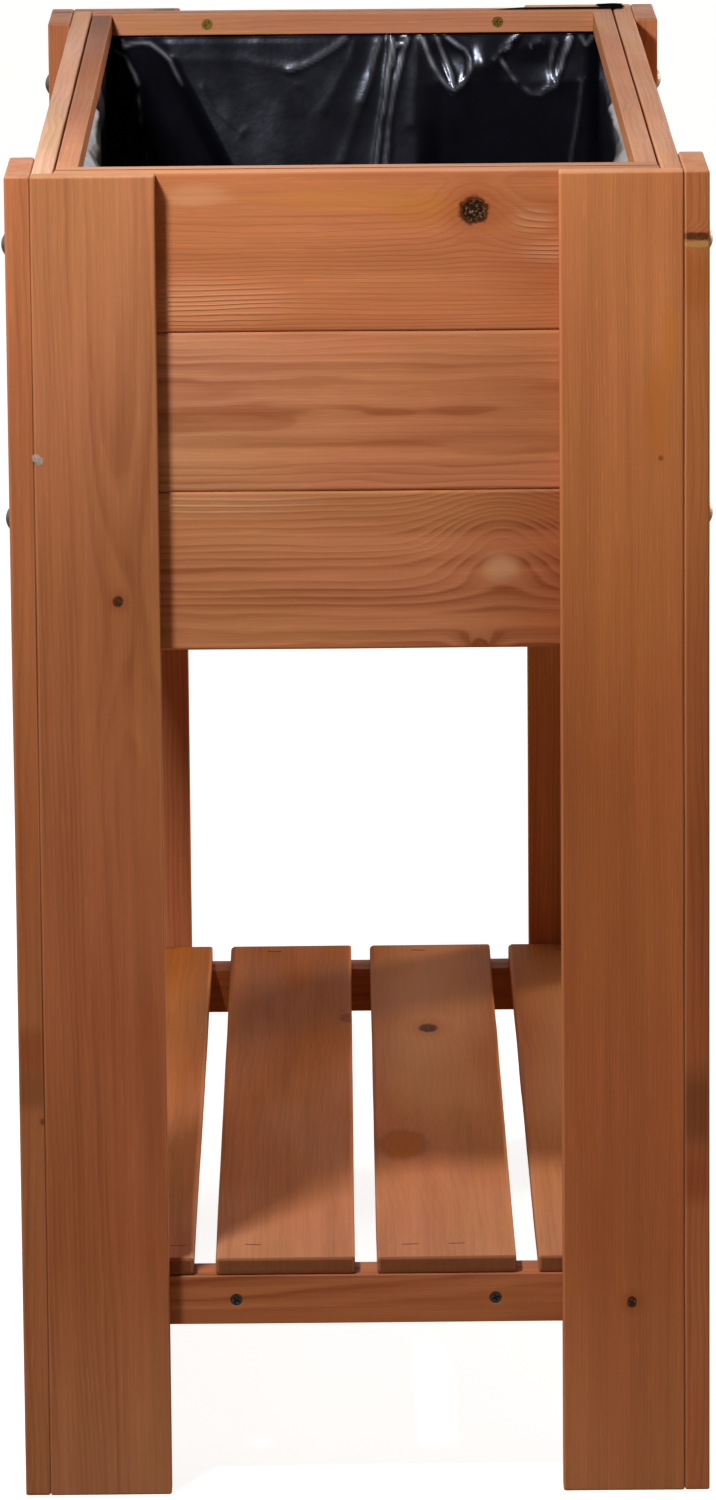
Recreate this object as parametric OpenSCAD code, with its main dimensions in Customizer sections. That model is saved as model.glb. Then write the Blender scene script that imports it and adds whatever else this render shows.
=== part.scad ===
// Raised garden bed: a planter box of horizontal boards carried on four L-shaped legs,
// with a film liner held under rim battens and a slatted shelf between the legs.
// X runs across the short side, Y along the long side (front is -Y), Z up.
// The origin is on the ground, in the middle between the legs. All sizes in millimetres.

/* [Overall] */
// Width over the legs, across the short side
overall_w = 412; // [340:1:600]
// Length over the legs, along the long side
overall_l = 868; // [600:1:1400]
// Height of the rim and of the leg tops above the ground
overall_h = 800; // [640:1:1000]

/* [Legs] */
// Thickness of the leg boards
leg_t = 15; // [12:0.5:20]
// Width of the leg board on the long side
leg_side_w = 88; // [75:1:120]
// Width of the leg board on the short side, beside the other board's edge
leg_end_w = 73; // [60:1:100]

/* [Box] */
// Thickness of the box boards
board_t = 13; // [11:0.5:18]
// Width of each box board, three of them one above another
board_h = 95; // [75:1:120]
// Width of the rim battens, measured across the rim
batten_w = 13; // [11:0.5:20]
// Height of the rim battens
batten_h = 14; // [12:0.5:25]
// Radius of the eased long edges of every board
edge_r = 1.5; // [0.5:0.1:2.5]

/* [Box floor] */
// Thickness of the floor boards
floor_t = 11; // [9:0.5:18]
// Drainage gap between two floor boards
floor_gap = 7; // [3:0.5:12]
// Height of the two long cleats that carry the floor
floor_cleat_h = 30; // [24:1:45]
// Thickness of the two long cleats
floor_cleat_t = 15; // [14:0.5:25]
// Clearance between the floor boards and the walls
floor_clear = 1; // [0.5:0.1:3]

/* [Liner] */
// Wall of the liner
liner_t = 0.8; // [0.5:0.1:1.5]
// Clearance between the liner and the wood on either side
liner_clear = 0.2; // [0.1:0.05:0.5]
// Clearance of the liner over and round the nuts
pocket_clear = 1.5; // [1:0.1:3]
// Depth of the liner's soft folds
fold_depth = 8; // [3:0.5:10]
// Number of folds along each long wall
long_folds = 4; // [2:1:5]
// Number of folds along each short wall
short_folds = 3; // [2:1:4]

/* [Shelf] */
// Height of the shelf's top above the ground
shelf_h = 143; // [100:1:300]
// Thickness of the slats
slat_t = 11; // [9:0.5:18]
// Gap between two slats
slat_gap = 13; // [6:0.5:25]
// Gap between the outer slats and the legs
slat_side_gap = 3.5; // [2:0.5:8]
// Distance of the slats' ends from the rails' outer faces
slat_setback = 1; // [0:0.5:8]
// Rounding of the slats' corners, seen from above
slat_corner_r = 2.5; // [1:0.5:6]
// Height of the end rails and of the cleats behind them
rail_h = 30; // [24:1:45]
// Thickness of the end rails
rail_t = 15; // [12:0.5:25]
// Thickness of the cleats under the slats
cleat_t = 15; // [12:0.5:25]

/* [Bolts] */
// Diameter of the carriage bolts
bolt_d = 6; // [5:0.5:8]
// Diameter of the bolts' round heads
bolt_head_d = 16; // [13:0.5:20]
// Height of the bolts' round heads
bolt_head_h = 3.9; // [3:0.1:5]
// Depth of the bolts' square necks
bolt_neck_h = 4; // [3:0.5:6]
// Length of thread past the nut
bolt_end = 2; // [1:0.5:5]
// Diameter of the washers
washer_d = 18; // [14:0.5:22]
// Thickness of the washers
washer_t = 1.6; // [1:0.1:2.5]
// Width of the nuts across their flats
nut_w = 10; // [8:0.5:13]
// Height of the nuts
nut_h = 5; // [4:0.5:8]
// Distance of the bolts from the ends of the bed
bolt_inset = 46; // [40:1:55]
// Distance of the upper bolts below the rim
bolt_drop = 46; // [38:1:55]
// Distance of the lower bolts below the top edge of the lowest board
bolt_low = 20; // [14:1:40]
// Clearance between bolts and their holes
bolt_clear = 0.3; // [0.15:0.05:0.5]

/* [Screws] */
// Diameter of the wood screws
screw_d = 4; // [3:0.5:5]
// Diameter of the countersunk heads
screw_head_d = 8; // [6.5:0.5:9]
// Height of the countersunk heads
screw_head_h = 2.6; // [2:0.1:3.2]
// Clearance between screws and their holes
screw_clear = 0.1; // [0.05:0.05:0.3]
// Length of the screws through one board
screw_short = 24; // [20:1:26]
// Length of the screws into the edge of a board
screw_long = 40; // [32:1:50]
// Distance of the two shelf screws in each rail from the middle
shelf_screw_x = 78; // [50:1:110]
// Distance of the two rim screws in each short batten from the middle
rim_screw_x = 99; // [70:1:130]

/* [Hidden] */

// Signs of the four corners, and of one pair
left = -1;
right = 1;
front = -1;
back = 1;
pair = [-1, 1];

// Number of boards one above another in each wall
board_rows = 3;
// Number of slats in the shelf and of boards in the floor
slat_count = 4;
floor_count = 9;

// Colours of the stained wood, the film and the metal
wood = [0.66, 0.39, 0.25];
wood_light = [0.74, 0.48, 0.34];
wood_dark = [0.52, 0.28, 0.18];
film_black = [0.04, 0.04, 0.05];
zinc = [0.72, 0.72, 0.70];
brass = [0.70, 0.58, 0.30];
black = [0.08, 0.08, 0.08];

// A length that cuts run past a face
over = 1;
// Smoothness of bores, heads and eased edges
bore_fn = 48;
edge_fn = 32;

// Half sizes of the planes that pieces line up with
half_w = overall_w / 2;
half_l = overall_l / 2;
wall_x = half_w - leg_t;            // inner face of the legs' side boards
wall_y = half_l - leg_t;            // inner face of the legs' end boards
cavity_x = wall_x - board_t;        // inner face of the side boards
cavity_y = wall_y - board_t;        // inner face of the end boards
film_gap = liner_t + 2 * liner_clear;
rim_x = cavity_x - film_gap - batten_w;   // inner face of the long battens
rim_y = cavity_y - film_gap - batten_w;   // inner face of the short battens

// Heights
box_bottom = overall_h - board_rows * board_h;
floor_top = box_bottom + floor_cleat_h + floor_t;
rail_top = shelf_h - slat_t;
rail_bottom = rail_top - rail_h;

// Outer faces of the liner's walls and floor
skin_x = cavity_x - liner_clear;
skin_y = cavity_y - liner_clear;
skin_z = floor_top + liner_clear;
clamp_z = overall_h - batten_h - liner_clear;   // the film is flat above this height

// Floor boards fill the cavity's length with equal gaps
floor_board_w = (2 * (cavity_y - floor_clear) - (floor_count - 1) * floor_gap) / floor_count;
// Slats fill the width between the legs with equal gaps
slat_w = (2 * (wall_x - slat_side_gap) - (slat_count - 1) * slat_gap) / slat_count;
slat_l = 2 * (wall_y - slat_setback);
shelf_cleat_l = 2 * (wall_x - slat_side_gap);

// Places of the bolts along the length, and their heights
bolt_y = half_l - bolt_inset;
bolt_heights = [overall_h - bolt_drop, box_bottom + board_h - bolt_low];
bolt_grip = leg_t + board_t;
bolt_hole_d = bolt_d + 2 * bolt_clear;
// The film stands off this far over each nut, on a square of this half width
tent_h = washer_t + nut_h + bolt_end + pocket_clear;
tent_r = washer_d / 2 + pocket_clear;

// Each leg's boards are joined by screws at these shares of the height below the box
leg_screw_shares = [0.12, 0.5, 0.88];
// Where a screw through a leg's end board sits across the board, as shares of its width
leg_end_shares = [0.3, 0.7];
// Where the floor cleats and the long battens are screwed, as shares of the length
cleat_screw_shares = [-0.84, -0.3, 0.3, 0.84];
batten_screw_shares = [-0.8, 0, 0.8];

function board_mid(row) = overall_h - (row + 0.5) * board_h;
function leg_screw_z(share) = box_bottom * share;
function leg_end_x(share) = wall_x - leg_end_w * share;
function floor_y(i) = -cavity_y + floor_clear + floor_board_w / 2 + i * (floor_board_w + floor_gap);
function slat_x(i) = -wall_x + slat_side_gap + slat_w / 2 + i * (slat_w + slat_gap);

// Rounded rectangle, centred: a cross of two squares and four round corners
module eased_section(w, h, r) {
  square([w - 2 * r, h], center = true);
  square([w, h - 2 * r], center = true);
  for (sx = pair, sy = pair)
    translate([sx * (w / 2 - r), sy * (h / 2 - r)])
      circle(r, $fn = edge_fn);
}

// Board standing on end, centred on X and Y, from z = 0 up
module board_up(w, d, h) {
  linear_extrude(height = h)
    eased_section(w, d, edge_r);
}

// Board lying along X, centred
module board_across(l, d, h) {
  rotate([90, 0, 90])
    translate([0, 0, -l / 2])
      linear_extrude(height = l)
        eased_section(d, h, edge_r);
}

// Board lying along Y, centred
module board_along(w, l, h) {
  rotate([90, 0, 0])
    translate([0, 0, -l / 2])
      linear_extrude(height = l)
        eased_section(w, h, edge_r);
}

// Countersunk wood screw along +Z: its head's face at z = 0 and its point at z = length
module screw(length, clear = 0) {
  point_h = screw_d;
  cylinder(h = screw_head_h, d1 = screw_head_d + 2 * clear, d2 = screw_d + 2 * clear, $fn = bore_fn);
  cylinder(h = length - point_h, d = screw_d + 2 * clear, $fn = bore_fn);
  translate([0, 0, length - point_h])
    cylinder(h = point_h + clear, d1 = screw_d + 2 * clear, d2 = screw_d / 4 + 2 * clear, $fn = bore_fn);
}

// Turns a piece that points along +Z to point along a direction on one row axis
module point_x(sign) {
  rotate([0, 90 * sign, 0])
    children();
}
module point_y(sign) {
  rotate([-90 * sign, 0, 0])
    children();
}

// Places for each kind of fastener; the same lists drive the pieces and their holes
module at_bolts(sx) {
  for (sy = pair, z = bolt_heights)
    translate([sx * half_w, sy * bolt_y, z])
      point_x(-sx)
        children();
}
module at_leg_screws(sx, sy) {
  for (share = leg_screw_shares)
    translate([sx * half_w, sy * (half_l - leg_t / 2), leg_screw_z(share)])
      point_x(-sx)
        children();
}
module at_end_board_screws(sy, row) {
  for (sx = pair, share = leg_end_shares)
    translate([sx * leg_end_x(share), sy * cavity_y, board_mid(row)])
      point_y(sy)
        children();
}
module at_side_board_screws(sx, row) {
  for (sy = pair)
    translate([sx * cavity_x, sy * (half_l - leg_side_w + leg_t), board_mid(row)])
      point_x(sx)
        children();
}
module at_short_batten_screws(sy) {
  for (sx = pair)
    translate([sx * rim_screw_x, sy * rim_y, overall_h - batten_h / 2])
      point_y(sy)
        children();
}
module at_long_batten_screws(sx) {
  for (share = batten_screw_shares)
    translate([sx * rim_x, share * rim_y, overall_h - batten_h / 2])
      point_x(sx)
        children();
}
module at_floor_cleat_screws(sx) {
  for (share = cleat_screw_shares)
    translate([sx * (cavity_x - floor_cleat_t), share * cavity_y, box_bottom + floor_cleat_h / 2])
      point_x(sx)
        children();
}
module at_rail_leg_screws(sy) {
  for (sx = pair, share = leg_end_shares)
    translate([sx * leg_end_x(share), sy * (wall_y - rail_t), rail_bottom + rail_h / 2])
      point_y(sy)
        children();
}
module at_shelf_screws(sy) {
  for (sx = pair)
    translate([sx * shelf_screw_x, sy * wall_y, rail_bottom + rail_h / 2])
      point_y(-sy)
        children();
}

// Bolt hole through the leg and the side board, with the neck's square socket
module bolt_hole() {
  translate([0, 0, -over])
    cylinder(h = bolt_grip + 2 * over, d = bolt_hole_d, $fn = bore_fn);
  translate([0, 0, bolt_neck_h / 2 - over / 2])
    cube([bolt_hole_d, bolt_hole_d, bolt_neck_h + over], center = true);
}

module leg_side_board(sx, sy) {
  color(wood)
    difference() {
      translate([sx * (half_w - leg_t / 2), sy * (half_l - leg_side_w / 2), 0])
        board_up(leg_t, leg_side_w, overall_h);
      at_bolts(sx)
        bolt_hole();
      at_leg_screws(sx, sy)
        screw(screw_long, screw_clear);
      for (row = [0 : board_rows - 1])
        at_side_board_screws(sx, row)
          screw(screw_short, screw_clear);
    }
}

module leg_end_board(sx, sy) {
  color(wood)
    difference() {
      translate([sx * (wall_x - leg_end_w / 2), sy * (half_l - leg_t / 2), 0])
        board_up(leg_end_w, leg_t, overall_h);
      at_leg_screws(sx, sy)
        screw(screw_long, screw_clear);
      for (row = [0 : board_rows - 1])
        at_end_board_screws(sy, row)
          screw(screw_short, screw_clear);
      at_rail_leg_screws(sy)
        screw(screw_short, screw_clear);
    }
}

module end_board(sy, row) {
  color(wood_light)
    difference() {
      translate([0, sy * (wall_y - board_t / 2), board_mid(row)])
        board_across(2 * cavity_x, board_t, board_h);
      at_end_board_screws(sy, row)
        screw(screw_short, screw_clear);
      at_short_batten_screws(sy)
        screw(screw_short, screw_clear);
    }
}

module side_board(sx, row) {
  color(wood_light)
    difference() {
      translate([sx * (wall_x - board_t / 2), 0, board_mid(row)])
        board_along(board_t, 2 * wall_y, board_h);
      at_bolts(sx)
        bolt_hole();
      at_side_board_screws(sx, row)
        screw(screw_short, screw_clear);
      at_long_batten_screws(sx)
        screw(screw_short, screw_clear);
      at_floor_cleat_screws(sx)
        screw(screw_short, screw_clear);
    }
}

module short_batten(sy) {
  color(wood_light)
    difference() {
      translate([0, sy * (rim_y + batten_w / 2), overall_h - batten_h / 2])
        board_across(2 * (rim_x + batten_w), batten_w, batten_h);
      at_short_batten_screws(sy)
        screw(screw_short, screw_clear);
    }
}

module long_batten(sx) {
  color(wood_light)
    difference() {
      translate([sx * (rim_x + batten_w / 2), 0, overall_h - batten_h / 2])
        board_along(batten_w, 2 * rim_y, batten_h);
      at_long_batten_screws(sx)
        screw(screw_short, screw_clear);
    }
}

module floor_cleat(sx) {
  color(wood_dark)
    difference() {
      translate([sx * (cavity_x - floor_cleat_t / 2), 0, box_bottom + floor_cleat_h / 2])
        board_along(floor_cleat_t, 2 * (cavity_y - floor_clear), floor_cleat_h);
      at_floor_cleat_screws(sx)
        screw(screw_short, screw_clear);
    }
}

module floor_board(i) {
  color(wood_dark)
    translate([0, floor_y(i), floor_top - floor_t / 2])
      board_across(2 * (cavity_x - floor_clear), floor_board_w, floor_t);
}

// The film is a grid: columns round the four walls, rows from the rim down to the floor.
// A column is [wall, place along the wall as a share of its half length, beside a nut];
// the walls run front, right, back, left, and each starts at a corner, so the grid closes.
// A row is [height, beside a nut]. Where both are beside a nut, the film is a tent over it.
fold_steps = 4;                       // grid steps across one fold
tent_in = (bolt_y - tent_r) / skin_y;
tent_out = (bolt_y + tent_r) / skin_y;
function columns(wall, from, to, steps, nut) =
  [for (i = [0 : steps - 1]) [wall, from + (to - from) * i / steps, nut && i == 0]];
function short_wall(wall) = columns(wall, -1, 1, short_folds * fold_steps, false);
function long_wall(wall) = concat(
  [[wall, -1, false], [wall, -tent_out, true]],
  columns(wall, -tent_in, tent_in, long_folds * fold_steps, true),
  [[wall, tent_in, true], [wall, tent_out, true]]
);
film_columns = concat(short_wall(0), long_wall(1), short_wall(2), long_wall(3));
column_count = len(film_columns);
film_rows = [
  [overall_h, false],
  [clamp_z, false],
  [bolt_heights[0] + tent_r, true],
  [bolt_heights[0] - tent_r, true],
  [(bolt_heights[0] + bolt_heights[1]) / 2, false],
  [bolt_heights[1] + tent_r, true],
  [bolt_heights[1] - tent_r, true],
  [skin_z, false]
];
last_row = len(film_rows) - 1;

// How far the film stands off its wall: soft folds that fade out at corners, rim and floor
function fold_off(wall, share, z) =
  let (
    drop = min(1, max(0, (clamp_z - z) / (clamp_z - skin_z))),
    folds = wall % 2 == 0 ? short_folds : long_folds,
    slant = 25 * sin(360 * drop + 90 * wall)
  )
  fold_depth / 2 * sin(180 * drop) * min(1, fold_steps * (1 - abs(share)))
    * (1 - cos(180 * folds * (1 + share) + slant));

// A grid point on the film's outer skin, or on its inner skin when inset is the film's wall
function film_point(column, row, inset) =
  let (
    wall = column[0],
    share = column[1],
    z = row[0] + (row[0] == skin_z ? inset : 0),
    off = inset + (column[2] && row[1] ? tent_h : fold_off(wall, share, row[0])),
    x = share * (skin_x - inset),
    y = share * (skin_y - inset)
  )
  wall == 0 ? [x, -skin_y + off, z]
  : wall == 1 ? [skin_x - off, y, z]
  : wall == 2 ? [-x, skin_y - off, z]
  : [-skin_x + off, -y, z];

// Film tray: clamped behind the rim battens, lying on the floor boards. Its points are the
// outer skin, the inner skin, then the middle of the floor's underside and of its top.
module film() {
  skin_size = column_count * len(film_rows);
  points = concat(
    [for (inset = [0, liner_t], row = film_rows, column = film_columns) film_point(column, row, inset)],
    [[0, 0, skin_z], [0, 0, skin_z + liner_t]]
  );
  foot = last_row * column_count;
  under = 2 * skin_size;
  walls = [
    for (row = [0 : last_row - 1], c = [0 : column_count - 1])
      let (
        a = row * column_count + c,
        b = row * column_count + (c + 1) % column_count,
        d = a + column_count,
        e = b + column_count
      )
      each [
        [a, b, d], [b, e, d],
        [skin_size + a, skin_size + d, skin_size + b],
        [skin_size + b, skin_size + d, skin_size + e]
      ]
  ];
  rim_and_floor = [
    for (c = [0 : column_count - 1])
      let (next = (c + 1) % column_count)
      each [
        [c, skin_size + c, next], [next, skin_size + c, skin_size + next],
        [foot + c, foot + next, under],
        [skin_size + foot + c, under + 1, skin_size + foot + next]
      ]
  ];
  polyhedron(points, concat(walls, rim_and_floor));
}

// Hole that a rim screw makes in the film
module film_hole() {
  cylinder(h = screw_short, d = screw_head_d, $fn = 6);
}

module planter_liner() {
  color(film_black)
    difference() {
      film();
      for (sx = pair)
        at_long_batten_screws(sx)
          film_hole();
      for (sy = pair)
        at_short_batten_screws(sy)
          film_hole();
    }
}

module shelf_rail(sy) {
  color(wood)
    difference() {
      translate([0, sy * (wall_y - rail_t / 2), rail_bottom + rail_h / 2])
        board_across(2 * wall_x, rail_t, rail_h);
      at_rail_leg_screws(sy)
        screw(screw_short, screw_clear);
      at_shelf_screws(sy)
        screw(screw_short, screw_clear);
    }
}

module shelf_cleat(sy) {
  color(wood)
    difference() {
      translate([0, sy * (wall_y - rail_t - cleat_t / 2), rail_bottom + rail_h / 2])
        board_across(shelf_cleat_l, cleat_t, rail_h);
      at_shelf_screws(sy)
        screw(screw_short, screw_clear);
    }
}

// Slat outline from above: a rectangle with four rounded corners
module slat_outline() {
  square([slat_w - 2 * slat_corner_r, slat_l], center = true);
  square([slat_w, slat_l - 2 * slat_corner_r], center = true);
  for (sx = pair, sy = pair)
    translate([sx * (slat_w / 2 - slat_corner_r), sy * (slat_l / 2 - slat_corner_r)])
      circle(slat_corner_r, $fn = edge_fn);
}

module shelf_slat(i) {
  color(wood_light)
    translate([slat_x(i), 0, 0])
      intersection() {
        translate([0, 0, rail_top])
          linear_extrude(height = slat_t)
            slat_outline();
        translate([0, 0, rail_top + slat_t / 2])
          board_along(slat_w, slat_l + 2 * over, slat_t);
      }
}

// Carriage bolt along +Z: its domed head below z = 0, its square neck and shank above
module carriage_bolt() {
  dome_r = (pow(bolt_head_h, 2) + pow(bolt_head_d / 2, 2)) / (2 * bolt_head_h);
  intersection() {
    translate([0, 0, dome_r - bolt_head_h])
      sphere(dome_r, $fn = bore_fn);
    translate([0, 0, -bolt_head_h])
      cylinder(h = bolt_head_h, d = bolt_head_d, $fn = bore_fn);
  }
  translate([0, 0, bolt_neck_h / 2])
    cube([bolt_d, bolt_d, bolt_neck_h], center = true);
  cylinder(h = bolt_grip + washer_t + nut_h + bolt_end, d = bolt_d, $fn = bore_fn);
}

module carriage_bolts() {
  color(zinc)
    for (sx = pair)
      at_bolts(sx)
        carriage_bolt();
}

module bolt_washers() {
  color(zinc)
    for (sx = pair)
      at_bolts(sx)
        translate([0, 0, bolt_grip])
          difference() {
            cylinder(h = washer_t, d = washer_d, $fn = bore_fn);
            translate([0, 0, -over])
              cylinder(h = washer_t + 2 * over, d = bolt_hole_d, $fn = bore_fn);
          }
}

// Six-sided nuts, turned from a hexagon prism with a round bore
module bolt_nuts() {
  nut_corner_d = nut_w / cos(30);
  color(zinc)
    for (sx = pair)
      at_bolts(sx)
        translate([0, 0, bolt_grip + washer_t])
          difference() {
            cylinder(h = nut_h, d = nut_corner_d, $fn = 6);
            translate([0, 0, -over])
              cylinder(h = nut_h + 2 * over, d = bolt_d + screw_clear, $fn = bore_fn);
          }
}

module leg_screws() {
  color(zinc)
    for (sx = pair, sy = pair)
      at_leg_screws(sx, sy)
        screw(screw_long);
}

module end_board_screws() {
  color(zinc)
    for (sy = pair, row = [0 : board_rows - 1])
      at_end_board_screws(sy, row)
        screw(screw_short);
}

module side_board_screws() {
  color(zinc)
    for (sx = pair, row = [0 : board_rows - 1])
      at_side_board_screws(sx, row)
        screw(screw_short);
}

module rim_batten_screws() {
  color(brass) {
    for (sy = pair)
      at_short_batten_screws(sy)
        screw(screw_short);
    for (sx = pair)
      at_long_batten_screws(sx)
        screw(screw_short);
  }
}

module floor_cleat_screws() {
  color(zinc)
    for (sx = pair)
      at_floor_cleat_screws(sx)
        screw(screw_short);
}

module rail_leg_screws() {
  color(zinc)
    for (sy = pair)
      at_rail_leg_screws(sy)
        screw(screw_short);
}

module shelf_screws() {
  color(black)
    for (sy = pair)
      at_shelf_screws(sy)
        screw(screw_short);
}

leg_side_board(left, front);  // leg_side_board_front_left
leg_side_board(right, front);  // leg_side_board_front_right
leg_side_board(left, back);  // leg_side_board_back_left
leg_side_board(right, back);  // leg_side_board_back_right
leg_end_board(left, front);  // leg_end_board_front_left
leg_end_board(right, front);  // leg_end_board_front_right
leg_end_board(left, back);  // leg_end_board_back_left
leg_end_board(right, back);  // leg_end_board_back_right
end_board(front, 0);  // end_board_front_top
end_board(front, 1);  // end_board_front_middle
end_board(front, 2);  // end_board_front_bottom
end_board(back, 0);  // end_board_back_top
end_board(back, 1);  // end_board_back_middle
end_board(back, 2);  // end_board_back_bottom
side_board(left, 0);  // side_board_left_top
side_board(left, 1);  // side_board_left_middle
side_board(left, 2);  // side_board_left_bottom
side_board(right, 0);  // side_board_right_top
side_board(right, 1);  // side_board_right_middle
side_board(right, 2);  // side_board_right_bottom
short_batten(front);  // rim_batten_front
short_batten(back);  // rim_batten_back
long_batten(left);  // rim_batten_left
long_batten(right);  // rim_batten_right
floor_cleat(left);  // floor_cleat_left
floor_cleat(right);  // floor_cleat_right
floor_board(0);  // floor_board_1
floor_board(1);  // floor_board_2
floor_board(2);  // floor_board_3
floor_board(3);  // floor_board_4
floor_board(4);  // floor_board_5
floor_board(5);  // floor_board_6
floor_board(6);  // floor_board_7
floor_board(7);  // floor_board_8
floor_board(8);  // floor_board_9
planter_liner();
shelf_rail(front);  // shelf_rail_front
shelf_rail(back);  // shelf_rail_back
shelf_cleat(front);  // shelf_cleat_front
shelf_cleat(back);  // shelf_cleat_back
shelf_slat(0);  // shelf_slat_1
shelf_slat(1);  // shelf_slat_2
shelf_slat(2);  // shelf_slat_3
shelf_slat(3);  // shelf_slat_4
carriage_bolts();
bolt_washers();
bolt_nuts();
leg_screws();
end_board_screws();
side_board_screws();
rim_batten_screws();
floor_cleat_screws();
rail_leg_screws();
shelf_screws();
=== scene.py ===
# %% [markdown]
# # A raised garden bed in stained pine
#
# The bed is a narrow wooden box on four L-shaped legs, with a slatted shelf near the floor
# and a black film that keeps the soil off the wood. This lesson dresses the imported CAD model:
# every board, screw and fold is built here, each in the place that its CAD piece holds.

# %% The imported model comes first
import math
from functools import partial

import bmesh
import bpy
import numpy as np
from mathutils import Matrix, Vector, noise


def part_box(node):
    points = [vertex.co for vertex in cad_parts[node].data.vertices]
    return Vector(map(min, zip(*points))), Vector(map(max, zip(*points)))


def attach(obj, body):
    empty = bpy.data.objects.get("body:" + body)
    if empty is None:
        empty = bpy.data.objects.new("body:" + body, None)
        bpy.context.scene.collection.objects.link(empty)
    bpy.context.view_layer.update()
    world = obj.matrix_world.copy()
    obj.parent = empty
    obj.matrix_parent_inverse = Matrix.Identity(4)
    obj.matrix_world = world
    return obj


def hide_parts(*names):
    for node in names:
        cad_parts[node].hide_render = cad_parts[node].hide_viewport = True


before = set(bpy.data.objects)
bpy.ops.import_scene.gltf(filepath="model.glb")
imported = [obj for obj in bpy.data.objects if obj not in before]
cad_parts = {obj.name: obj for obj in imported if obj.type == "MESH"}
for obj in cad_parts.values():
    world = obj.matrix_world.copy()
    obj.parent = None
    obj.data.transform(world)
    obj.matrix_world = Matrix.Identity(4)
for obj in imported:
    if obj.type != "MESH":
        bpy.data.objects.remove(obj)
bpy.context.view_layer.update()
MM = 0.001
X, Y, Z = 0, 1, 2
print("pieces in the frame:", len(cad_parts))

# %% [markdown]
# ## The camera
#
# The photographer stood about five metres away, with the camera some 60 cm above the rim, and
# looked along the bed. A long lens keeps the near and the far legs almost the same size.
# The numbers below were fitted to the corners and seams of the boards in the photograph.

# %% Camera
CAMERA_PLACE = Vector((-11.1, -5201.3, 1436.1)) * MM
CAMERA_YAW = math.radians(0.108)
CAMERA_PITCH = math.radians(11.605)
CAMERA_ROLL = math.radians(-0.494)
LENS, SENSOR = 197.48, 36.0


def linked(name, data):
    """A new object in the scene."""
    thing = bpy.data.objects.new(name, data)
    bpy.context.scene.collection.objects.link(thing)
    return thing


lens = bpy.data.cameras.new("long_lens")
lens.lens, lens.sensor_width = LENS, SENSOR
lens.clip_start, lens.clip_end = 0.1, 60.0
camera = linked("camera", lens)
camera.matrix_world = (
    Matrix.Translation(CAMERA_PLACE)
    @ Matrix.Rotation(-CAMERA_YAW, 4, "Z")
    @ Matrix.Rotation(math.pi / 2 - CAMERA_PITCH, 4, "X")
    @ Matrix.Rotation(CAMERA_ROLL, 4, "Z")
)
bpy.context.scene.camera = camera
print("camera at", [round(c, 3) for c in CAMERA_PLACE])

# %% [markdown]
# ## Colours and nodes
#
# Colours are written as hex values, the way a paint chart gives them, and one function turns
# them into the linear values that Blender calculates with. One more function adds a node with
# its settings and links. The kinds of node that come again and again have a short name in a
# table, so that the recipe of a finish can be read almost like a formula.

# %% Colour and node
def linear(code):
    """A hex colour such as "#B47850" as linear RGBA."""
    parts = [int(code[i : i + 2], 16) / 255 for i in (1, 3, 5)]
    return (*[p / 12.92 if p <= 0.04045 else ((p + 0.055) / 1.055) ** 2.4 for p in parts], 1.0)


KINDS = {
    "join": ("ShaderNodeCombineXYZ", {}),
    "split": ("ShaderNodeSeparateXYZ", {}),
    "range": ("ShaderNodeMapRange", {}),
    "smooth_range": ("ShaderNodeMapRange", {"interpolation_type": "SMOOTHSTEP"}),
    "mix": ("ShaderNodeMix", {"data_type": "RGBA"}),
    "noise": ("ShaderNodeTexNoise", {}),
    "noise_4d": ("ShaderNodeTexNoise", {"noise_dimensions": "4D"}),
    "store": ("GeometryNodeStoreNamedAttribute", {}),
    "stored": ("GeometryNodeInputNamedAttribute", {}),
}
for word in "add subtract multiply multiply_add exponent fract greater_than maximum".split():
    KINDS[word] = ("ShaderNodeMath", {"operation": word.upper()})
for word in "add subtract multiply scale length".split():
    KINDS["vector_" + word] = ("ShaderNodeVectorMath", {"operation": word.upper()})


def add_node(tree, kind, *values, **settings):
    """Adds a node and gives its first output in use.

    values fill the inputs in use, in their order. A setting with a capital letter in its name
    is an input too; the others belong to the node itself. Another node's output is linked.
    """
    kind, fixed = KINDS.get(kind, (kind, {}))
    node = tree.nodes.new(kind)
    for name, value in (fixed | settings).items():
        if name.islower():
            setattr(node, name, value)
    filled = list(zip([socket for socket in node.inputs if socket.enabled], values))
    for name, value in settings.items():
        if not name.islower():
            filled.append((node.inputs[name.replace("_", " ")], value))
    for socket, value in filled:
        if isinstance(value, bpy.types.NodeSocket):
            tree.links.new(value, socket)
        else:
            socket.default_value = value
    return next((socket for socket in node.outputs if socket.enabled), None)


def emptied(thing):
    """Clears the node tree of a material, a world or a lamp. Gives add_node for that tree."""
    thing.use_nodes = True
    thing.node_tree.nodes.clear()
    return partial(add_node, thing.node_tree)


print("kinds of node with a short name:", len(KINDS))

# %% [markdown]
# ## Meshes and pieces
#
# A piece is a plain mesh in metres that already lies in its place, on an object that is not
# moved. One function puts it into the scene, gives it its finish, ties it to the frame's root
# body and hides the CAD nodes that it stands for. The others turn points, a bmesh or an
# object with modifiers into such a mesh.

# %% Mesh and piece
def mesh_of(name, points, faces):
    """A smooth mesh from an array of points."""
    mesh = bpy.data.meshes.new(name)
    mesh.from_pydata(points.tolist(), [], faces)
    mesh.shade_smooth()
    return mesh


def from_bmesh(name, shape):
    """A mesh from a bmesh, which is freed."""
    mesh = bpy.data.meshes.new(name)
    shape.to_mesh(mesh)
    shape.free()
    return mesh


def baked(thing):
    """The mesh that an object's modifiers make, as a plain mesh."""
    graph = bpy.context.evaluated_depsgraph_get()
    return bpy.data.meshes.new_from_object(
        thing.evaluated_get(graph), preserve_all_data_layers=True, depsgraph=graph
    )


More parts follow.
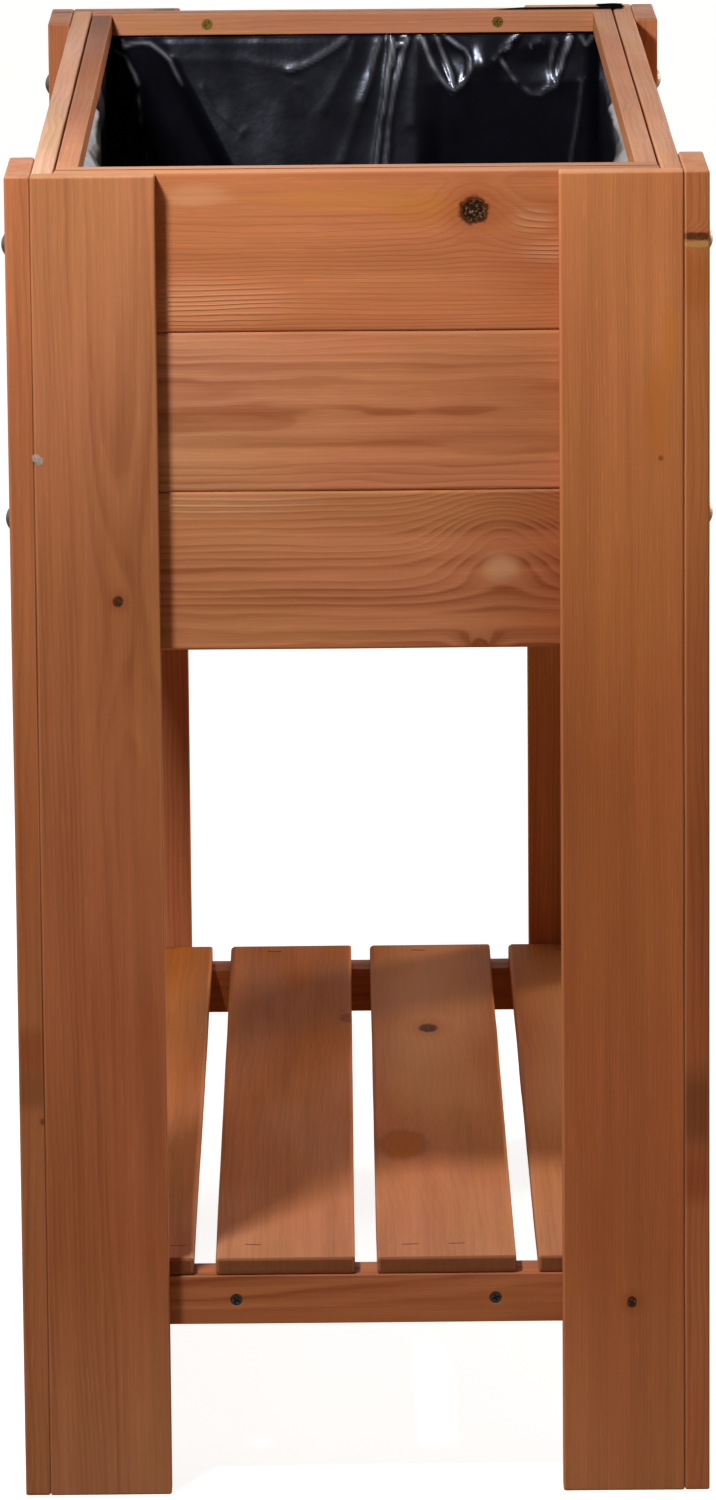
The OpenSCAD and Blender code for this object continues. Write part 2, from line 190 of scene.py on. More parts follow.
def piece(name, mesh, material, slot, *stands_for):
    """Puts a finished mesh into the scene, gives it its finish and ties it to the frame."""
    thing = linked(name, mesh)
    if material is not None:
        mesh.materials.clear()
        mesh.materials.append(material)
    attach(thing, "root")
    if stands_for:
        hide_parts(*stands_for)
    return thing


# %% [markdown]
# ## Growth rings
#
# The wood is planed softwood under a thin terracotta stain. What the eye reads as pine is the
# growth rings: a board is a straight cut through a stack of cones round the tree's pith, so
# rings run as fine lines near a board's edge and as wide flames where the cut lies flat on
# them. The material therefore knows where the pith was. Every board carries the attribute
# "grain", its place along, across and through the board in metres, and "log", where the pith
# ran and a number that makes its noise its own. Distance to the pith gives the rings.

# %% Distance to the pith
SLOW, QUICK = (2.2, 9.0, 9.0), (9.0, 55.0, 55.0)  # waves of the pith line in each metre


def grained(add, grain, seed, stretch, detail=2.0, roughness=0.5):
    """Noise in the wood. stretch: how many of its clouds fill a metre along, across, through."""
    place = add("vector_multiply", grain, stretch)
    return add("noise_4d", place, seed, 1.0, detail, roughness)


def pith_distance(add, grain, pith, along, seed, wander_mm, ripple_mm, lean):
    """Distance from the pith line, which wanders slowly and ripples quickly along the trunk."""
    side = add("multiply_add", along, lean, pith["X"])
    away = add("vector_subtract", grain, add("join", Y=side, Z=pith["Y"]))
    for waves, size_mm in ((SLOW, 2 * wander_mm), (QUICK, 4 * ripple_mm)):
        drift = grained(add, grain, seed, waves).node.outputs["Color"]
        centred = add("vector_subtract", drift, (0.5, 0.5, 0.5))
        away = add("vector_add", away, add("vector_scale", centred, size_mm * MM))
    return add("vector_length", add("vector_multiply", away, (0.0, 1.0, 1.0)))


print("the pith's slow waves are", round(1000 / SLOW[0]), "mm long")

# %% [markdown]
# ## Knots
#
# A knot is a branch: the tree's rings bend round it, so each knot is added to the distance
# from the pith as a soft hump. The ones that the photograph shows are set by place. Boards
# that it doesn't show get theirs by chance, from the cells of a Voronoi texture.

# %% Knots
THROUGH = 1e6  # a branch runs right through the board in this direction
HUMP = 0.42  # the hump of a knot is gone at five times its half size
CHIPS, CHIP_SHARE = 260.0, 0.5  # the edge of a core is ragged by chips about 4 mm long
CELLS = (5.0, 16.0, 0.0)  # places for a knot by chance in each metre, along and across
IN_CELL = (26.0, 11.0, 0.0)  # half sizes of such a knot in the width of its cell
CHANCE_LIFT_MM, FAR = 9.0, 9.0


def bell(add, distance, reach):
    """1 at distance 0, and next to nothing beyond 2 / reach."""
    near = add("multiply", distance, reach)
    return add("exponent", add("multiply", add("multiply", near, near), -1.0))


def placed_knots(add, grain, radius, knots):
    """Knots by place. Gives the bent distance and each core's own distance, colour and rim.

    A knot is its place and half size along, across and through the board in mm, and how far
    it lifts the rings in mm. The colour and the rim of its core follow, if a core shows.
    """
    cores = []
    for place, half, lift_mm, *core in knots:
        offset = add("vector_subtract", grain, tuple(c * MM for c in place))
        shrunk = add("vector_multiply", offset, tuple(1 / (c * MM) for c in half))
        near = add("vector_length", shrunk)
        radius = add("multiply_add", bell(add, near, HUMP), lift_mm * MM, radius)
        if core:
            ragged = add("noise", grain, CHIPS)
            cores.append((add("multiply_add", ragged, CHIP_SHARE, near), *core))
    return radius, cores


def chance_knots(add, grain, radius, seed, chance):
    """Knots by chance, for boards that the photograph shows from behind or not at all."""
    cells = add("vector_multiply", grain, CELLS)
    found = add("ShaderNodeTexVoronoi", cells, seed, 1.0, voronoi_dimensions="4D").node.outputs
    offset = add("vector_subtract", cells, found["Position"])
    near = add("vector_length", add("vector_multiply", offset, IN_CELL))
    dice = add("ShaderNodeSeparateColor", found["Color"])
    drawn = add("greater_than", dice, 1.0 - chance)
    hump = add("multiply", bell(add, near, HUMP), drawn)
    radius = add("multiply_add", hump, CHANCE_LIFT_MM * MM, radius)
    away = add("add", near, add("multiply_add", drawn, -FAR, FAR))  # a knot not drawn is far off
    return radius, (away, "#6E3A1C", 0.7)


print("a knot's hump ends at", round(2 / HUMP, 1), "half sizes")

# %% [markdown]
# ## From rings to colour
#
# Each ring is soft pale wood that darkens into a thin hard line, then drops back at once: the
# tree's summer and winter. Soft wood drinks more stain than hard wood, fibres run along the
# board as streaks about a hand long, and the stain itself dried redder here and yellower
# there. A ramp node holds the profile of one ring, and another the stain along the board.

# %% Colour of the wood
RING = ((0.0, 0.30), (0.12, 0.10), (0.55, 0.50), (0.80, 1.0), (0.91, 0.88), (1.0, 0.30))
FIBRE = 1 / (1.1 * MM)  # softwood fibres are far finer; this is as coarse as it takes to show
STREAK = 1 / (90.0 * MM)  # length of a fibre streak along the board
WEATHER, UNEVEN = 55.0, 2.2  # good years follow poor ones within 18 mm, by up to two rings
# The stain's own colour times these gives soft wood, hard wood, blotches and the two hues.
SOFT, LATE, DEEP = (1.08, 1.12, 1.16), (0.66, 0.52, 0.44), (0.84, 0.74, 0.64)
YELLOWER, REDDER = (1.0, 1.015, 0.95), (1.02, 0.95, 1.0)


def set_stops(ramp, stops, interpolation="LINEAR"):
    """Sets a colour ramp. stops: (position, RGBA) pairs."""
    ramp.interpolation = interpolation
    while len(ramp.elements) < len(stops):
        ramp.elements.new(0.5)
    for stop, (position, colour) in zip(ramp.elements, stops):
        stop.position, stop.color = position, colour


def hard_wood(add, radius, seed, ring_mm):
    """How far the ring's hard wood has come, 0 to 1. Good years are wide, poor years narrow."""
    years = add("multiply", radius, WEATHER)
    weather = add("noise", add("join", years, seed), 1.0, 1.0)
    rings = add("multiply", radius, 1 / (ring_mm * MM))
    count = add("multiply_add", weather, UNEVEN, rings)
    ring = add("ShaderNodeValToRGB", add("fract", count))
    set_stops(ring.node.color_ramp, [(p, (v, v, v, 1.0)) for p, v in RING], "EASE")
    return ring


def stain_along(add, along, stain):
    """The stain's colour: one for the whole board, or stops by place along it in mm. On the left
    batten they also paint shade, and on the left side board sheen.
    """
    stops = ((0, stain), (800, stain)) if isinstance(stain, str) else stain
    first, last = stops[0][0], stops[-1][0]
    dye = add("ShaderNodeValToRGB", add("range", along, first * MM, last * MM))
    parts = [((place - first) / (last - first), linear(colour)) for place, colour in stops]
    set_stops(dye.node.color_ramp, parts)
    return dye


def ringed_colour(add, grain, seed, dye, hard, fibre, contrast):
    """The stain on soft and hard wood, with its blotches, drifts of hue, streaks and a painted
    silky sheen.
    """
    band = grained(add, grain, seed, (4.0, 90.0, 90.0), 1.0)
    strength = add("range", band, 0.32, 0.66, 0.15 * contrast, 1.25 * contrast)
    soft, late, deep = (add("vector_multiply", dye, part) for part in (SOFT, LATE, DEEP))
    colour = add("mix", add("multiply", hard, strength), soft, late)
    blotch = grained(add, grain, seed, (6.0, 26.0, 26.0), 3.0)
    colour = add("mix", add("range", blotch, 0.36, 0.72, 0.0, 0.5), colour, deep)
    hue = grained(add, grain, add("add", seed, 40.0), (5.0, 13.0, 13.0))
    hues = (add("vector_multiply", colour, part) for part in (YELLOWER, REDDER))
    colour = add("mix", add("smooth_range", hue, 0.36, 0.64), *hues)
    # Fine pale lines along the fibres are a painted silky sheen.
    silk_sheen = grained(add, grain, seed, (55.0, FIBRE, FIBRE), 1.0)
    streaks = add("range", fibre, 0.25, 0.75, 0.90, 1.08)
    light = add("add", streaks, add("range", silk_sheen, 0.58, 0.78, 0.0, 0.14))
    light = add("add", light, add("range", band, 0.3, 0.7, 0.07, -0.07))
    return add("vector_scale", colour, light), blotch


print("ring profile:", len(RING), "stops")

# %% [markdown]
# ## What lies on the rings
#
# A knot's core is a cut branch: a speckled heart, a dark ring of bark and a red flush of resin
# in the wood round it. Elsewhere resin or bare wood shows through the stain in soft patches, and
# on the slats such patches are painted light. Where water raised the grain, the ridges carry a
# painted glint.

# %% Cores, patches and raised grain
BARK, RESIN, FLUSH = "#3A1A0A", "#B8966A", (0.74, 0.50, 0.42)


def with_cores(add, grain, colour, height, dye, cores):
    """Adds the cores of the knots. rim: how dark and speckled a core is, 0 to 1."""
    speckle = add("noise", grain, 420.0, 3.0, 0.7)
    for distance, core, rim in cores:
        share = add("smooth_range", distance, 1.0, 3.4, 0.5 * rim, 0.0)
        colour = add("mix", share, colour, add("vector_multiply", dye, FLUSH))
        light = add("range", speckle, 0.35, 0.55, 1.0 - 0.5 * rim, 1.0 + 0.4 * rim)
        heart = add("vector_scale", linear(core)[:3], light)
        share = add("range", speckle, 0.54, 0.66, 0.0, 0.75 * rim**3)
        heart = add("mix", share, heart, linear(RESIN))
        share = add("smooth_range", distance, 1.0, 1.24, 1.0, 0.0)
        colour = add("mix", share, colour, heart)
        bark = bell(add, add("subtract", distance, 1.16), 7.0)
        share = add("multiply", bark, 0.85 * rim)
        colour = add("mix", share, colour, linear(BARK))
        height = add("multiply_add", bark, -1.6 * rim, height)
    return colour, height


def inside(add, grain, area):
    """1 in the middle of an area of a board, fading to 0 at its edge."""
    along, across, half_long, half_wide = area
    offset = add("vector_subtract", grain, (along * MM, across * MM, 0.0))
    part = (1 / (half_long * MM), 1 / (half_wide * MM), 0.0)
    near = add("vector_length", add("vector_multiply", offset, part))
    return add("smooth_range", near, 0.3, 1.1, 1.0, 0.0)


print("bark as linear:", [round(c, 3) for c in linear(BARK)])

# %% [markdown]
# ## The finish itself
#
# One function puts the steps together. Every board of the bed gets its finish from it, with
# the colour, ring width and knots that the photograph shows on that board. A third attribute,
# "faces", says where a sawn end, an edge or a face that looks up is: ends drink more stain,
# handling rubs edges paler, and what looks up is painted paler, a painted sheen.

# %% Finish of the boards
# Sawn ends, rubbed edges, and a painted glint on the ridges of raised grain.
SAWN, EDGE, GRAIN_GLINT = "#6B3A20", "#D29468", "#E9BE98"
# Faces that look up are made paler by these factors: a painted sheen.
TOP_SHEEN_TINT = (1.16, 1.42, 1.75)


def stained_pine(
    name, stain, ring_mm=2.6, contrast=0.5, wander_mm=7.0, lean=0.0, knots=(), chance=0.0,
    relief_mm=0.10, shine=0.2, raw_end=0.0, raised=(), ripple_mm=1.5, patches=(), top_sheen=0.0,
):
    """A planed, stained pine finish.

    stain: one colour, or (place along the board in mm, colour) pairs where it changes slowly.
    ring_mm: width of a year's growth; contrast: how much darker its hard wood is.
    wander_mm, ripple_mm: how far the pith strays, slowly and within a hand's width.
    lean: sideways drift of the pith for each metre of board.
    knots: see placed_knots; chance: share of the places that get a knot by chance.
    relief_mm, shine: depth of the grain and strength of the gloss.
    raw_end: how much darker the sawn ends are.
    raised: (place along, across, half size along, across) in mm where water raised the
    grain; its ridges get a painted glint.
    patches: the same four numbers and a colour, where resin or bare wood shows through;
    on the slats they paint light.
    worn: how much paler the faces that look up are painted, a painted sheen.
    """
    material = bpy.data.materials.new("stained_pine_" + name)
    add = emptied(material)
    grain, log, faces = (
        add("ShaderNodeAttribute", attribute_name=title).node.outputs["Vector"]
        for title in ("grain", "log", "faces")
    )
    along, pith = add("split", grain), add("split", log).node.outputs
    at_end, at_edge, looks_up = add("split", faces).node.outputs
    seed = pith["Z"]
    radius = pith_distance(add, grain, pith, along, seed, wander_mm, ripple_mm, lean)
    radius, cores = placed_knots(add, grain, radius, knots)
    if chance > 0.0:
        radius, core = chance_knots(add, grain, radius, seed, chance)
        cores.append(core)
    hard = hard_wood(add, radius, seed, ring_mm)
    fibre = grained(add, grain, seed, (STREAK, FIBRE, FIBRE), roughness=0.6)
    dye = stain_along(add, along, stain)
    colour, blotch = ringed_colour(add, grain, seed, dye, hard, fibre, contrast)
    height = add("multiply_add", fibre, 0.55, add("multiply", hard, 0.75))
    for *area, shown in patches:
        share = add("multiply", inside(add, grain, area), 0.55)
        colour = add("mix", share, colour, linear(shown))
    for area in raised:
        fade = add("multiply", inside(add, grain, area), hard)
        height = add("multiply_add", fade, 2.4, height)
        # The ridges of the raised grain are painted paler: a painted glint.
        colour = add("mix", add("multiply", fade, 0.28), colour, linear(GRAIN_GLINT))
    colour, height = with_cores(add, grain, colour, height, dye, cores)
    colour = add("mix", add("multiply", at_end, raw_end), colour, linear(SAWN))
    colour = add("mix", add("multiply", at_edge, 0.22), colour, linear(EDGE))
    paler = add("vector_multiply", colour, TOP_SHEEN_TINT)
    # Faces that look up are painted paler: a painted sheen.
    colour = add("mix", add("multiply", looks_up, top_sheen), colour, paler)
    bump = add("ShaderNodeBump", Height=height, Strength=1.0, Distance=relief_mm * MM)
    wood = add(
        "ShaderNodeBsdfPrincipled", Base_Color=colour, Normal=bump,
        Roughness=add("range", blotch, 0.3, 0.7, 0.46, 0.62),
        IOR=1.5, Specular_IOR_Level=shine,
    )
    add("ShaderNodeOutputMaterial", wood)
    return material


UNSEEN = {"contrast": 0.45, "chance": 0.16}
plain_pine = stained_pine("planed", "#B8744A", **UNSEEN)
print("pine nodes:", len(plain_pine.node_tree.nodes))

# %% [markdown]
# ## A board
#
# A planed board is a box whose arrises were eased with a cutter to a radius of about 1.5 mm.
# A Bevel modifier could round it, but a box of grid lines pushed onto a rounded box gives even
# quads, a soft waviness and a place to store "grain", "log" and "faces" at the same time.

# %% Box of grid lines
ARC = (0.0, 15.0, 30.0, 45.0)  # degrees at which lines run along a rounded edge
FLAT_FROM = 1.35  # radii from the edge, where the even lines of the flat part start


def lines_between(low, high, radius, step):
    """Grid lines from low to high: close together in the rounding, wide apart between."""
    near = [low + radius * (1 - math.tan(math.radians(a))) for a in reversed(ARC)]
    far = [high - (n - low) for n in reversed(near)]
    first, last = low + radius * FLAT_FROM, high - radius * FLAT_FROM
    count = max(1, round((last - first) / step))
    return near + [first + (last - first) * i / count for i in range(count + 1)] + far


def box_grid(xs, ys, zs, open_top=False):
    """Points and outward quads of a box made of grid lines, with no point twice."""
    lines = (xs, ys, zs)
    number, points, quads = {}, [], []

    def at(key):
        if key not in number:
            number[key] = len(points)
            points.append([line[k] for line, k in zip(lines, key)])
        return number[key]

    for axis in (X, Y, Z):
        first, second = (axis + 1) % 3, (axis + 2) % 3
        for side in (0, len(lines[axis]) - 1):
            if open_top and axis == Z and side:
                continue
            for i in range(len(lines[first]) - 1):
                for j in range(len(lines[second]) - 1):
                    corner = []
                    for a, b in ((0, 0), (1, 0), (1, 1), (0, 1)):
                        key = [0, 0, 0]
                        key[axis], key[first], key[second] = side, i + a, j + b
                        corner.append(at(tuple(key)))
                    quads.append(corner if side else corner[::-1])
    return np.array(points, float), quads


print("quads of a small box:", len(box_grid((0, 1), (0, 1, 2), (0, 1))[1]))

# %% [markdown]
# ## The board's mesh and its marks
#
# Points that lie outside the inner box are drawn in to one radius from it, which rounds the
# edges. Slow noise then takes a tenth of a millimetre of machine-made perfection away, more at
# the edges than on the faces. The marks are written last, and again after a board is cut.

# %% Board mesh
EASED_MM, BOW_MM = 1.5, 0.12
LONG_STEP, SHORT_STEP = 0.03, 0.012  # even grid lines along a board, and across it
BOW_WAVES = 9.0  # waves of the bow in each metre
END_SHARE, EDGE_SHARE, TOP_SHARE = 0.6, 0.06, 0.4  # of the rounding: from there a mark is set
noise.seed_set(7)  # noise_vector starts from the clock unless it is given a seed


def mark_wood(mesh, low, high, along, pith, seed, radius):
    """Stores where each point lies in the wood. Done again after every cut."""
    points = np.empty(len(mesh.vertices) * 3, np.float32)
    mesh.vertices.foreach_get("co", points)
    points = points.reshape(-1, 3)
    through = int(np.argmin(np.where(np.arange(3) == along, 9.0, high - low)))
    across = X + Y + Z - along - through
    middle = (low + high) / 2
    log = (middle[across] + pith[0] * MM, middle[through] + pith[1] * MM, seed)
    out = np.abs(points - np.clip(points, low + radius, high - radius)) / radius
    at_end, at_edge = out[:, along] > END_SHARE, (out > EDGE_SHARE).sum(axis=1) > 1
    looks_up = points[:, Z] > high[Z] - TOP_SHARE * radius
    marks = {
        "grain": points[:, [along, across, through]],
        "log": np.tile(log, (len(points), 1)),
        "faces": np.stack([at_end, at_edge, looks_up], axis=1),
    }
    for title, data in marks.items():
        old = mesh.attributes.get(title)
        if old is not None:
            mesh.attributes.remove(old)
        layer = mesh.attributes.new(title, "FLOAT_VECTOR", "POINT")
        layer.data.foreach_set("vector", data.astype(np.float32).ravel())


def board_mesh(name, low, high, along, pith, seed, eased=EASED_MM, bow=BOW_MM):
    """A board from corner low to corner high, in metres, that runs along X, Y or Z.

    pith: (across, through) in mm from the board's middle, where the tree's heart ran.
    """
    low, high = np.array(low, float), np.array(high, float)
    radius = eased * MM
    steps = [LONG_STEP if axis == along else SHORT_STEP for axis in (X, Y, Z)]
    grids = [lines_between(low[a], high[a], radius, steps[a]) for a in (X, Y, Z)]
    points, quads = box_grid(*grids)
    inner = np.clip(points, low + radius, high - radius)
    unit = (points - inner) / np.linalg.norm(points - inner, axis=1, keepdims=True)
    points = inner + unit * radius
    at_edge = (np.abs(unit) > 0.05).sum(axis=1) > 1
    for i, point in enumerate(points):
        place = Vector(point) * BOW_WAVES + Vector((seed, 0.0, 0.0))
        step = np.array(noise.noise_vector(place)) * bow * MM * (2.0 if at_edge[i] else 0.6)
        step[along] *= 0.2
        points[i] += step
    mesh = mesh_of(name, np.clip(points, low, high), quads)
    mark_wood(mesh, low, high, along, pith, seed, radius)
    return mesh


trial = board_mesh("trial", (0, 0, 0), (0.1, 0.4, 0.013), Y, (0, 30), 1.0)
print("faces of a board:", len(trial.polygons))
bpy.data.meshes.remove(trial)

# %% [markdown]
# ## Where the screws sit
#
# The CAD model holds every screw, bolt, washer and nut as a solid of its own. Their places are
# read from those solids: a copy of the mesh is merged, its separate islands are found, and the
# wider end of each island is the head.

# %% Islands of the CAD fasteners
END_LAYER = 1.2 * MM  # how much of an end is looked at to find out which one is wider
SCREWS = {
    "leg_screws": "steel", "end_board_screws": "steel", "side_board_screws": "steel",
    "rim_batten_screws": "brass", "floor_cleat_screws": "steel", "rail_leg_screws": "steel",
    "shelf_screws": "black",
}


def islands(node):
    """The points of each solid of a CAD node, in the order of their places."""
    copy = bmesh.new()
    copy.from_mesh(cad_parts[node].data)
    bmesh.ops.remove_doubles(copy, verts=copy.verts, dist=1e-6)
    seen, found = set(), []
    for start in copy.verts:
        if start in seen:
            continue
        seen.add(start)
        group = [start]
        for vert in group:  # the list grows while it is read
            for edge in vert.link_edges:
                other = edge.other_vert(vert)
                if other not in seen:
                    seen.add(other)
                    group.append(other)
        found.append(np.array([vert.co for vert in group]))
    copy.free()
    return sorted(found, key=lambda points: tuple(points.mean(axis=0).round(4)))


def heads(node, axis=None):
    """(point on the head's face, outward direction, length) for each fastener of a node.

    A washer or a nut has no head: it gets its axis, and faces away from the bed's middle.
    """
    places = []
    for points in islands(node):
        low, high = points.min(axis=0), points.max(axis=0)
        centre = (low + high) / 2
        line = int(np.argmax(high - low)) if axis is None else axis
        radial = np.delete(points, line, axis=1) - np.delete(centre, line)
        width = np.linalg.norm(radial, axis=1)
        upper = width[points[:, line] > high[line] - END_LAYER].max()
        lower = width[points[:, line] < low[line] + END_LAYER].max()
        outward = centre[line] > 0 if axis is not None else upper > lower
        face, out = centre.copy(), np.zeros(3)
        face[line], out[line] = (high[line], 1.0) if outward else (low[line], -1.0)
        places.append((face, out, high[line] - low[line]))
    return places


SCREW_PLACES = {node: heads(node) for node in SCREWS}
ALL_HEADS = [(face, out) for places in SCREW_PLACES.values() for face, out, _ in places]
print({node: len(places) for node, places in SCREW_PLACES.items()})

# %% [markdown]
# ## Countersinks
#
# Each head lies in a small funnel with a dark rim, as a driven screw does. A Boolean modifier
# cuts all the funnels of a board at once, and the board is marked again, because the cut makes
# new points. A function then builds one whole board in the place of its CAD node.

# %% Countersunk boards
HEAD_D, HEAD_H, SHANK_D, SUNK_MM = 8.0, 2.6, 4.0, 0.35
FUNNEL_GAP, FUNNEL_OVER = 0.25, 0.6  # mm round the head, and past the board's face
NEAR_FACE = 3e-4  # metres: a head this near to a board's face lies in it
CUT_SHARP = 38  # degrees: a steeper edge of a cut board stays sharp


def cut_away(mesh, shape, sharp, crossing=False):
    """The mesh without the room that a bmesh fills. Edges stay sharp from so many degrees.

    crossing: the parts of the bmesh cross each other.
    """
    board, tool = linked("board", mesh), linked("tool", from_bmesh("tool", shape))
    cut = board.modifiers.new("cut", "BOOLEAN")
    cut.operation, cut.solver, cut.use_self, cut.object = "DIFFERENCE", "EXACT", crossing, tool
    result = baked(board)
    for thing in (board, tool):
        bpy.data.objects.remove(thing)
    result.set_sharp_from_angle(angle=math.radians(sharp))
    return result


def countersunk(mesh, low, high):
    """The board's mesh with a funnel for each screw head that lies in one of its faces."""
    shape, found = bmesh.new(), False
    for face, out in ALL_HEADS:
        in_board = (face > low - NEAR_FACE).all() and (face < high + NEAR_FACE).all()
        depths = [abs((face - side) @ np.abs(out)) for side in (low, high)]
        if not in_board or min(depths) >= NEAR_FACE:
            continue
        found = True
        middle = Vector(face - out * (HEAD_H / 2 - FUNNEL_OVER) * MM)
        turn = Vector(out).to_track_quat("Z", "Y").to_matrix().to_4x4()
        bmesh.ops.create_cone(
            shape, cap_ends=True, segments=32, radius1=SHANK_D / 2 * MM,
            radius2=(HEAD_D / 2 + FUNNEL_GAP + FUNNEL_OVER) * MM,
            depth=(HEAD_H + 2 * FUNNEL_OVER) * MM,
            matrix=Matrix.Translation(middle) @ turn,
        )
    if found:
        return cut_away(mesh, shape, CUT_SHARP)
    shape.free()
    return mesh


def timber(node, along, finish, slot, pith, seed, eased=EASED_MM, bow=BOW_MM):
    """One board in the place of its CAD node: eased, countersunk, stained."""
    low, high = (np.array(c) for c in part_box(node))
    mesh = board_mesh(node, low, high, along, pith, seed, eased, bow)
    cut = countersunk(mesh, low, high)
    if cut is not mesh:
        mark_wood(cut, low, high, along, pith, seed, eased * MM)
    return piece(node + "_wood", cut, finish, slot, node)


print("heads to sink:", len(ALL_HEADS))

# %% [markdown]
# ## Legs
#
# Each leg is an L of two boards, a wide one on the long side and a narrower one on the end.
# The left one of the two that face the camera has its pith behind its right edge, so its
# rings crowd towards the left; the right one was cut across the rings and shows straight,
# close lines. Small knots sit on both. Both are darker half way down than at the top and the foot.

# %% Finishes of the legs
left_leg_pine = stained_pine(
    "left_leg",
    ((0, "#B47852"), (150, "#A5613C"), (560, "#A5673F"), (680, "#B2734C"), (800, "#B8784F")),
    ring_mm=2.7, contrast=0.42, wander_mm=4.0, lean=-0.02, top_sheen=0.65, relief_mm=0.06,
    knots=[
        ((540, -141, 0), (30, 9, THROUGH), 6.0),
        ((547.4, -142.8, 0), (3.4, 3.0, THROUGH), 1.2, "#4C2814", 0.8),
    ],
)
right_leg_pine = stained_pine(
    "right_leg", ((0, "#B8744C"), (150, "#AC653A"), (450, "#AC6437"), (800, "#C9804F")),
    ring_mm=2.0, contrast=0.14, wander_mm=3.5, top_sheen=0.65, relief_mm=0.045,
    knots=[
        ((117.6, 159.4, 0), (3.4, 3.0, THROUGH), 2.2, "#35180C", 0.9),
        ((630.5, 177.3, 0), (1.8, 1.6, THROUGH), 1.0, "#8E5224", 0.2),
    ],
    patches=((700, 183, 32, 6, "#CC7C30"), (658, 175.5, 42, 10, "#BE6E2C")),
)
EDGE_ON = {"ring_mm": 2.4, "contrast": 0.40, "top_sheen": 0.6}  # boards that the camera sees edge on
left_edge_pine = stained_pine(
    "left_side", ((0, "#AC6C47"), (400, "#A06038"), (800, "#B77248")), **EDGE_ON,
    knots=[((232, -434, -191.8), (2.4, 30, 1.8), 1.0, "#6E3416", 0.3)],
    patches=((276, -434, 18, 30, "#863E1C"), (252, -434, 16, 30, "#744424")),
)
right_edge_pine = stained_pine(
    "right_side", ((0, "#B87048"), (400, "#9A572E"), (800, "#BE7646")), **EDGE_ON,
    knots=[
        ((761.5, -434, 199), (2.4, 26, 13), 5.0, "#5E3014", 0.4),
        ((757, -434, 200), (2.2, 24, 12), 0.0, "#B98A4C", 0.1),
    ],
    patches=(
        (236, -434, 32, 30, "#5C2E10"), (194, -434, 20, 30, "#8E4220"),
        (734, -434, 22, 30, "#A85E22"),
    ),
)
# A paler stain on the far right leg's end board: painted light on its shaded front.
painted_light_pine = stained_pine("pale", "#DC9C62", **UNSEEN, top_sheen=0.5)
print("finishes of the legs: 5")

# %% [markdown]
# ## Eight leg boards
#
# A table gives each leg board its finish, the place of its pith and the seed of its noise. The
# pith decides what the board shows: near its face it draws wide flames, far away close lines.

# %% Leg boards
LEGS = {
    "leg_end_board_front_left": (left_leg_pine, (28, 26), 3.1),
    "leg_end_board_front_right": (right_leg_pine, (240, 30), 7.4),
    "leg_side_board_front_left": (left_edge_pine, (60, 60), 11.9),
    "leg_side_board_front_right": (right_edge_pine, (60, -60), 15.2),
    "leg_end_board_back_left": (plain_pine, (-12, -34), 19.6),
    "leg_end_board_back_right": (painted_light_pine, (20, -42), 23.8),
    "leg_side_board_back_left": (plain_pine, (-25, 48), 27.7),
    "leg_side_board_back_right": (plain_pine, (10, -38), 31.3),
}
for node, (finish, pith, seed) in LEGS.items():
    timber(node, Z, finish, "stained_pine", pith, seed, bow=0.2)
print("leg boards:", len(LEGS))

# %% [markdown]
# ## The box
#
# Three boards at each end stand between the long side boards. The top one facing the camera
# has one black knot with its rings swept round it; the middle one shows wide level flames;
# the lowest one has a branch just under the surface, which draws a whirl without a knot.

# %% End and side boards
top_pine = stained_pine(
    "top_board", ((-190, "#BE784C"), (70, "#BE784C"), (150, "#A8683E")), top_sheen=1.0, shine=0.05,
    contrast=0.28, wander_mm=5.0, relief_mm=0.13,
    patches=(
        (0, 783, 75, 10, "#CE8646"), (-95, 786, 26, 9, "#D59A70"), (40, 776, 30, 12, "#C47838")
    ),
    raised=((-90, 722, 64, 18), (118, 752, 30, 10), (104, 770, 16, 10)),
    knots=[((68.5, 776, 0), (8.6, 8.2, THROUGH), 11.0, "#2E1B10", 1.0)],
)
middle_pine = stained_pine(
    "middle_board", ((-190, "#CA926E"), (0, "#C27F58"), (178, "#B2724A")),
    ring_mm=3.8, contrast=0.85, wander_mm=6.0, ripple_mm=2.2, shine=0.05,
)
bottom_pine = stained_pine(
    "bottom_board", ((-190, "#C2845C"), (40, "#BE7E56"), (120, "#A2623C"), (178, "#884C2C")),
    ring_mm=4.4, contrast=1.05, wander_mm=4.0, ripple_mm=1.6, shine=0.05, relief_mm=0.13,
    raised=((-80, 603, 70, 9),), patches=((83, 563, 14, 11, "#D2A078"),),
    knots=[
        ((84, 585, 0), (15, 13, THROUGH), -25.0),
        ((70.6, 517, 0), (5, 4, THROUGH), 6.0, "#8A4A26", 0.3),
    ],
)
side_pine = stained_pine("side_boards", "#BC784E", **UNSEEN, top_sheen=1.0)
# The left side board is paler, palest at its near end: a painted sheen on its top.
sheen_side_pine = stained_pine(
    "left_side_board", ((-419, "#D69C76"), (419, "#C98860")), **UNSEEN, top_sheen=1.0
)
BOX = {
    "end_board_front_top": (X, top_pine, (38, 16), 2.3),
    "end_board_front_middle": (X, middle_pine, (-2, 44), 5.6),
    "end_board_front_bottom": (X, bottom_pine, (-58, 30), 8.2),
    "end_board_back_top": (X, side_pine, (10, -30), 34.4),
    "end_board_back_middle": (X, plain_pine, (-60, -20), 37.5),
    "end_board_back_bottom": (X, plain_pine, (0, -45), 40.9),
    "side_board_left_top": (Y, sheen_side_pine, (-15, 36), 43.1),
    "side_board_left_middle": (Y, plain_pine, (70, 20), 46.6),
    "side_board_left_bottom": (Y, plain_pine, (5, 42), 49.3),
    "side_board_right_top": (Y, side_pine, (20, -34), 52.8),
    "side_board_right_middle": (Y, plain_pine, (-8, -46), 55.4),
    "side_board_right_bottom": (Y, plain_pine, (-75, -25), 58.7),
}
for node, (along, finish, pith, seed) in BOX.items():
    timber(node, along, finish, "stained_pine_light", pith, seed, eased=2.0, bow=0.2)
print("box boards:", len(BOX))

# %% [markdown]
# ## Battens, rails and cleats
#
# Thin battens screwed round the inside of the rim clamp the film. Rails and cleats under the
# shelf and the floor carry the boards. They are boards too, only smaller.

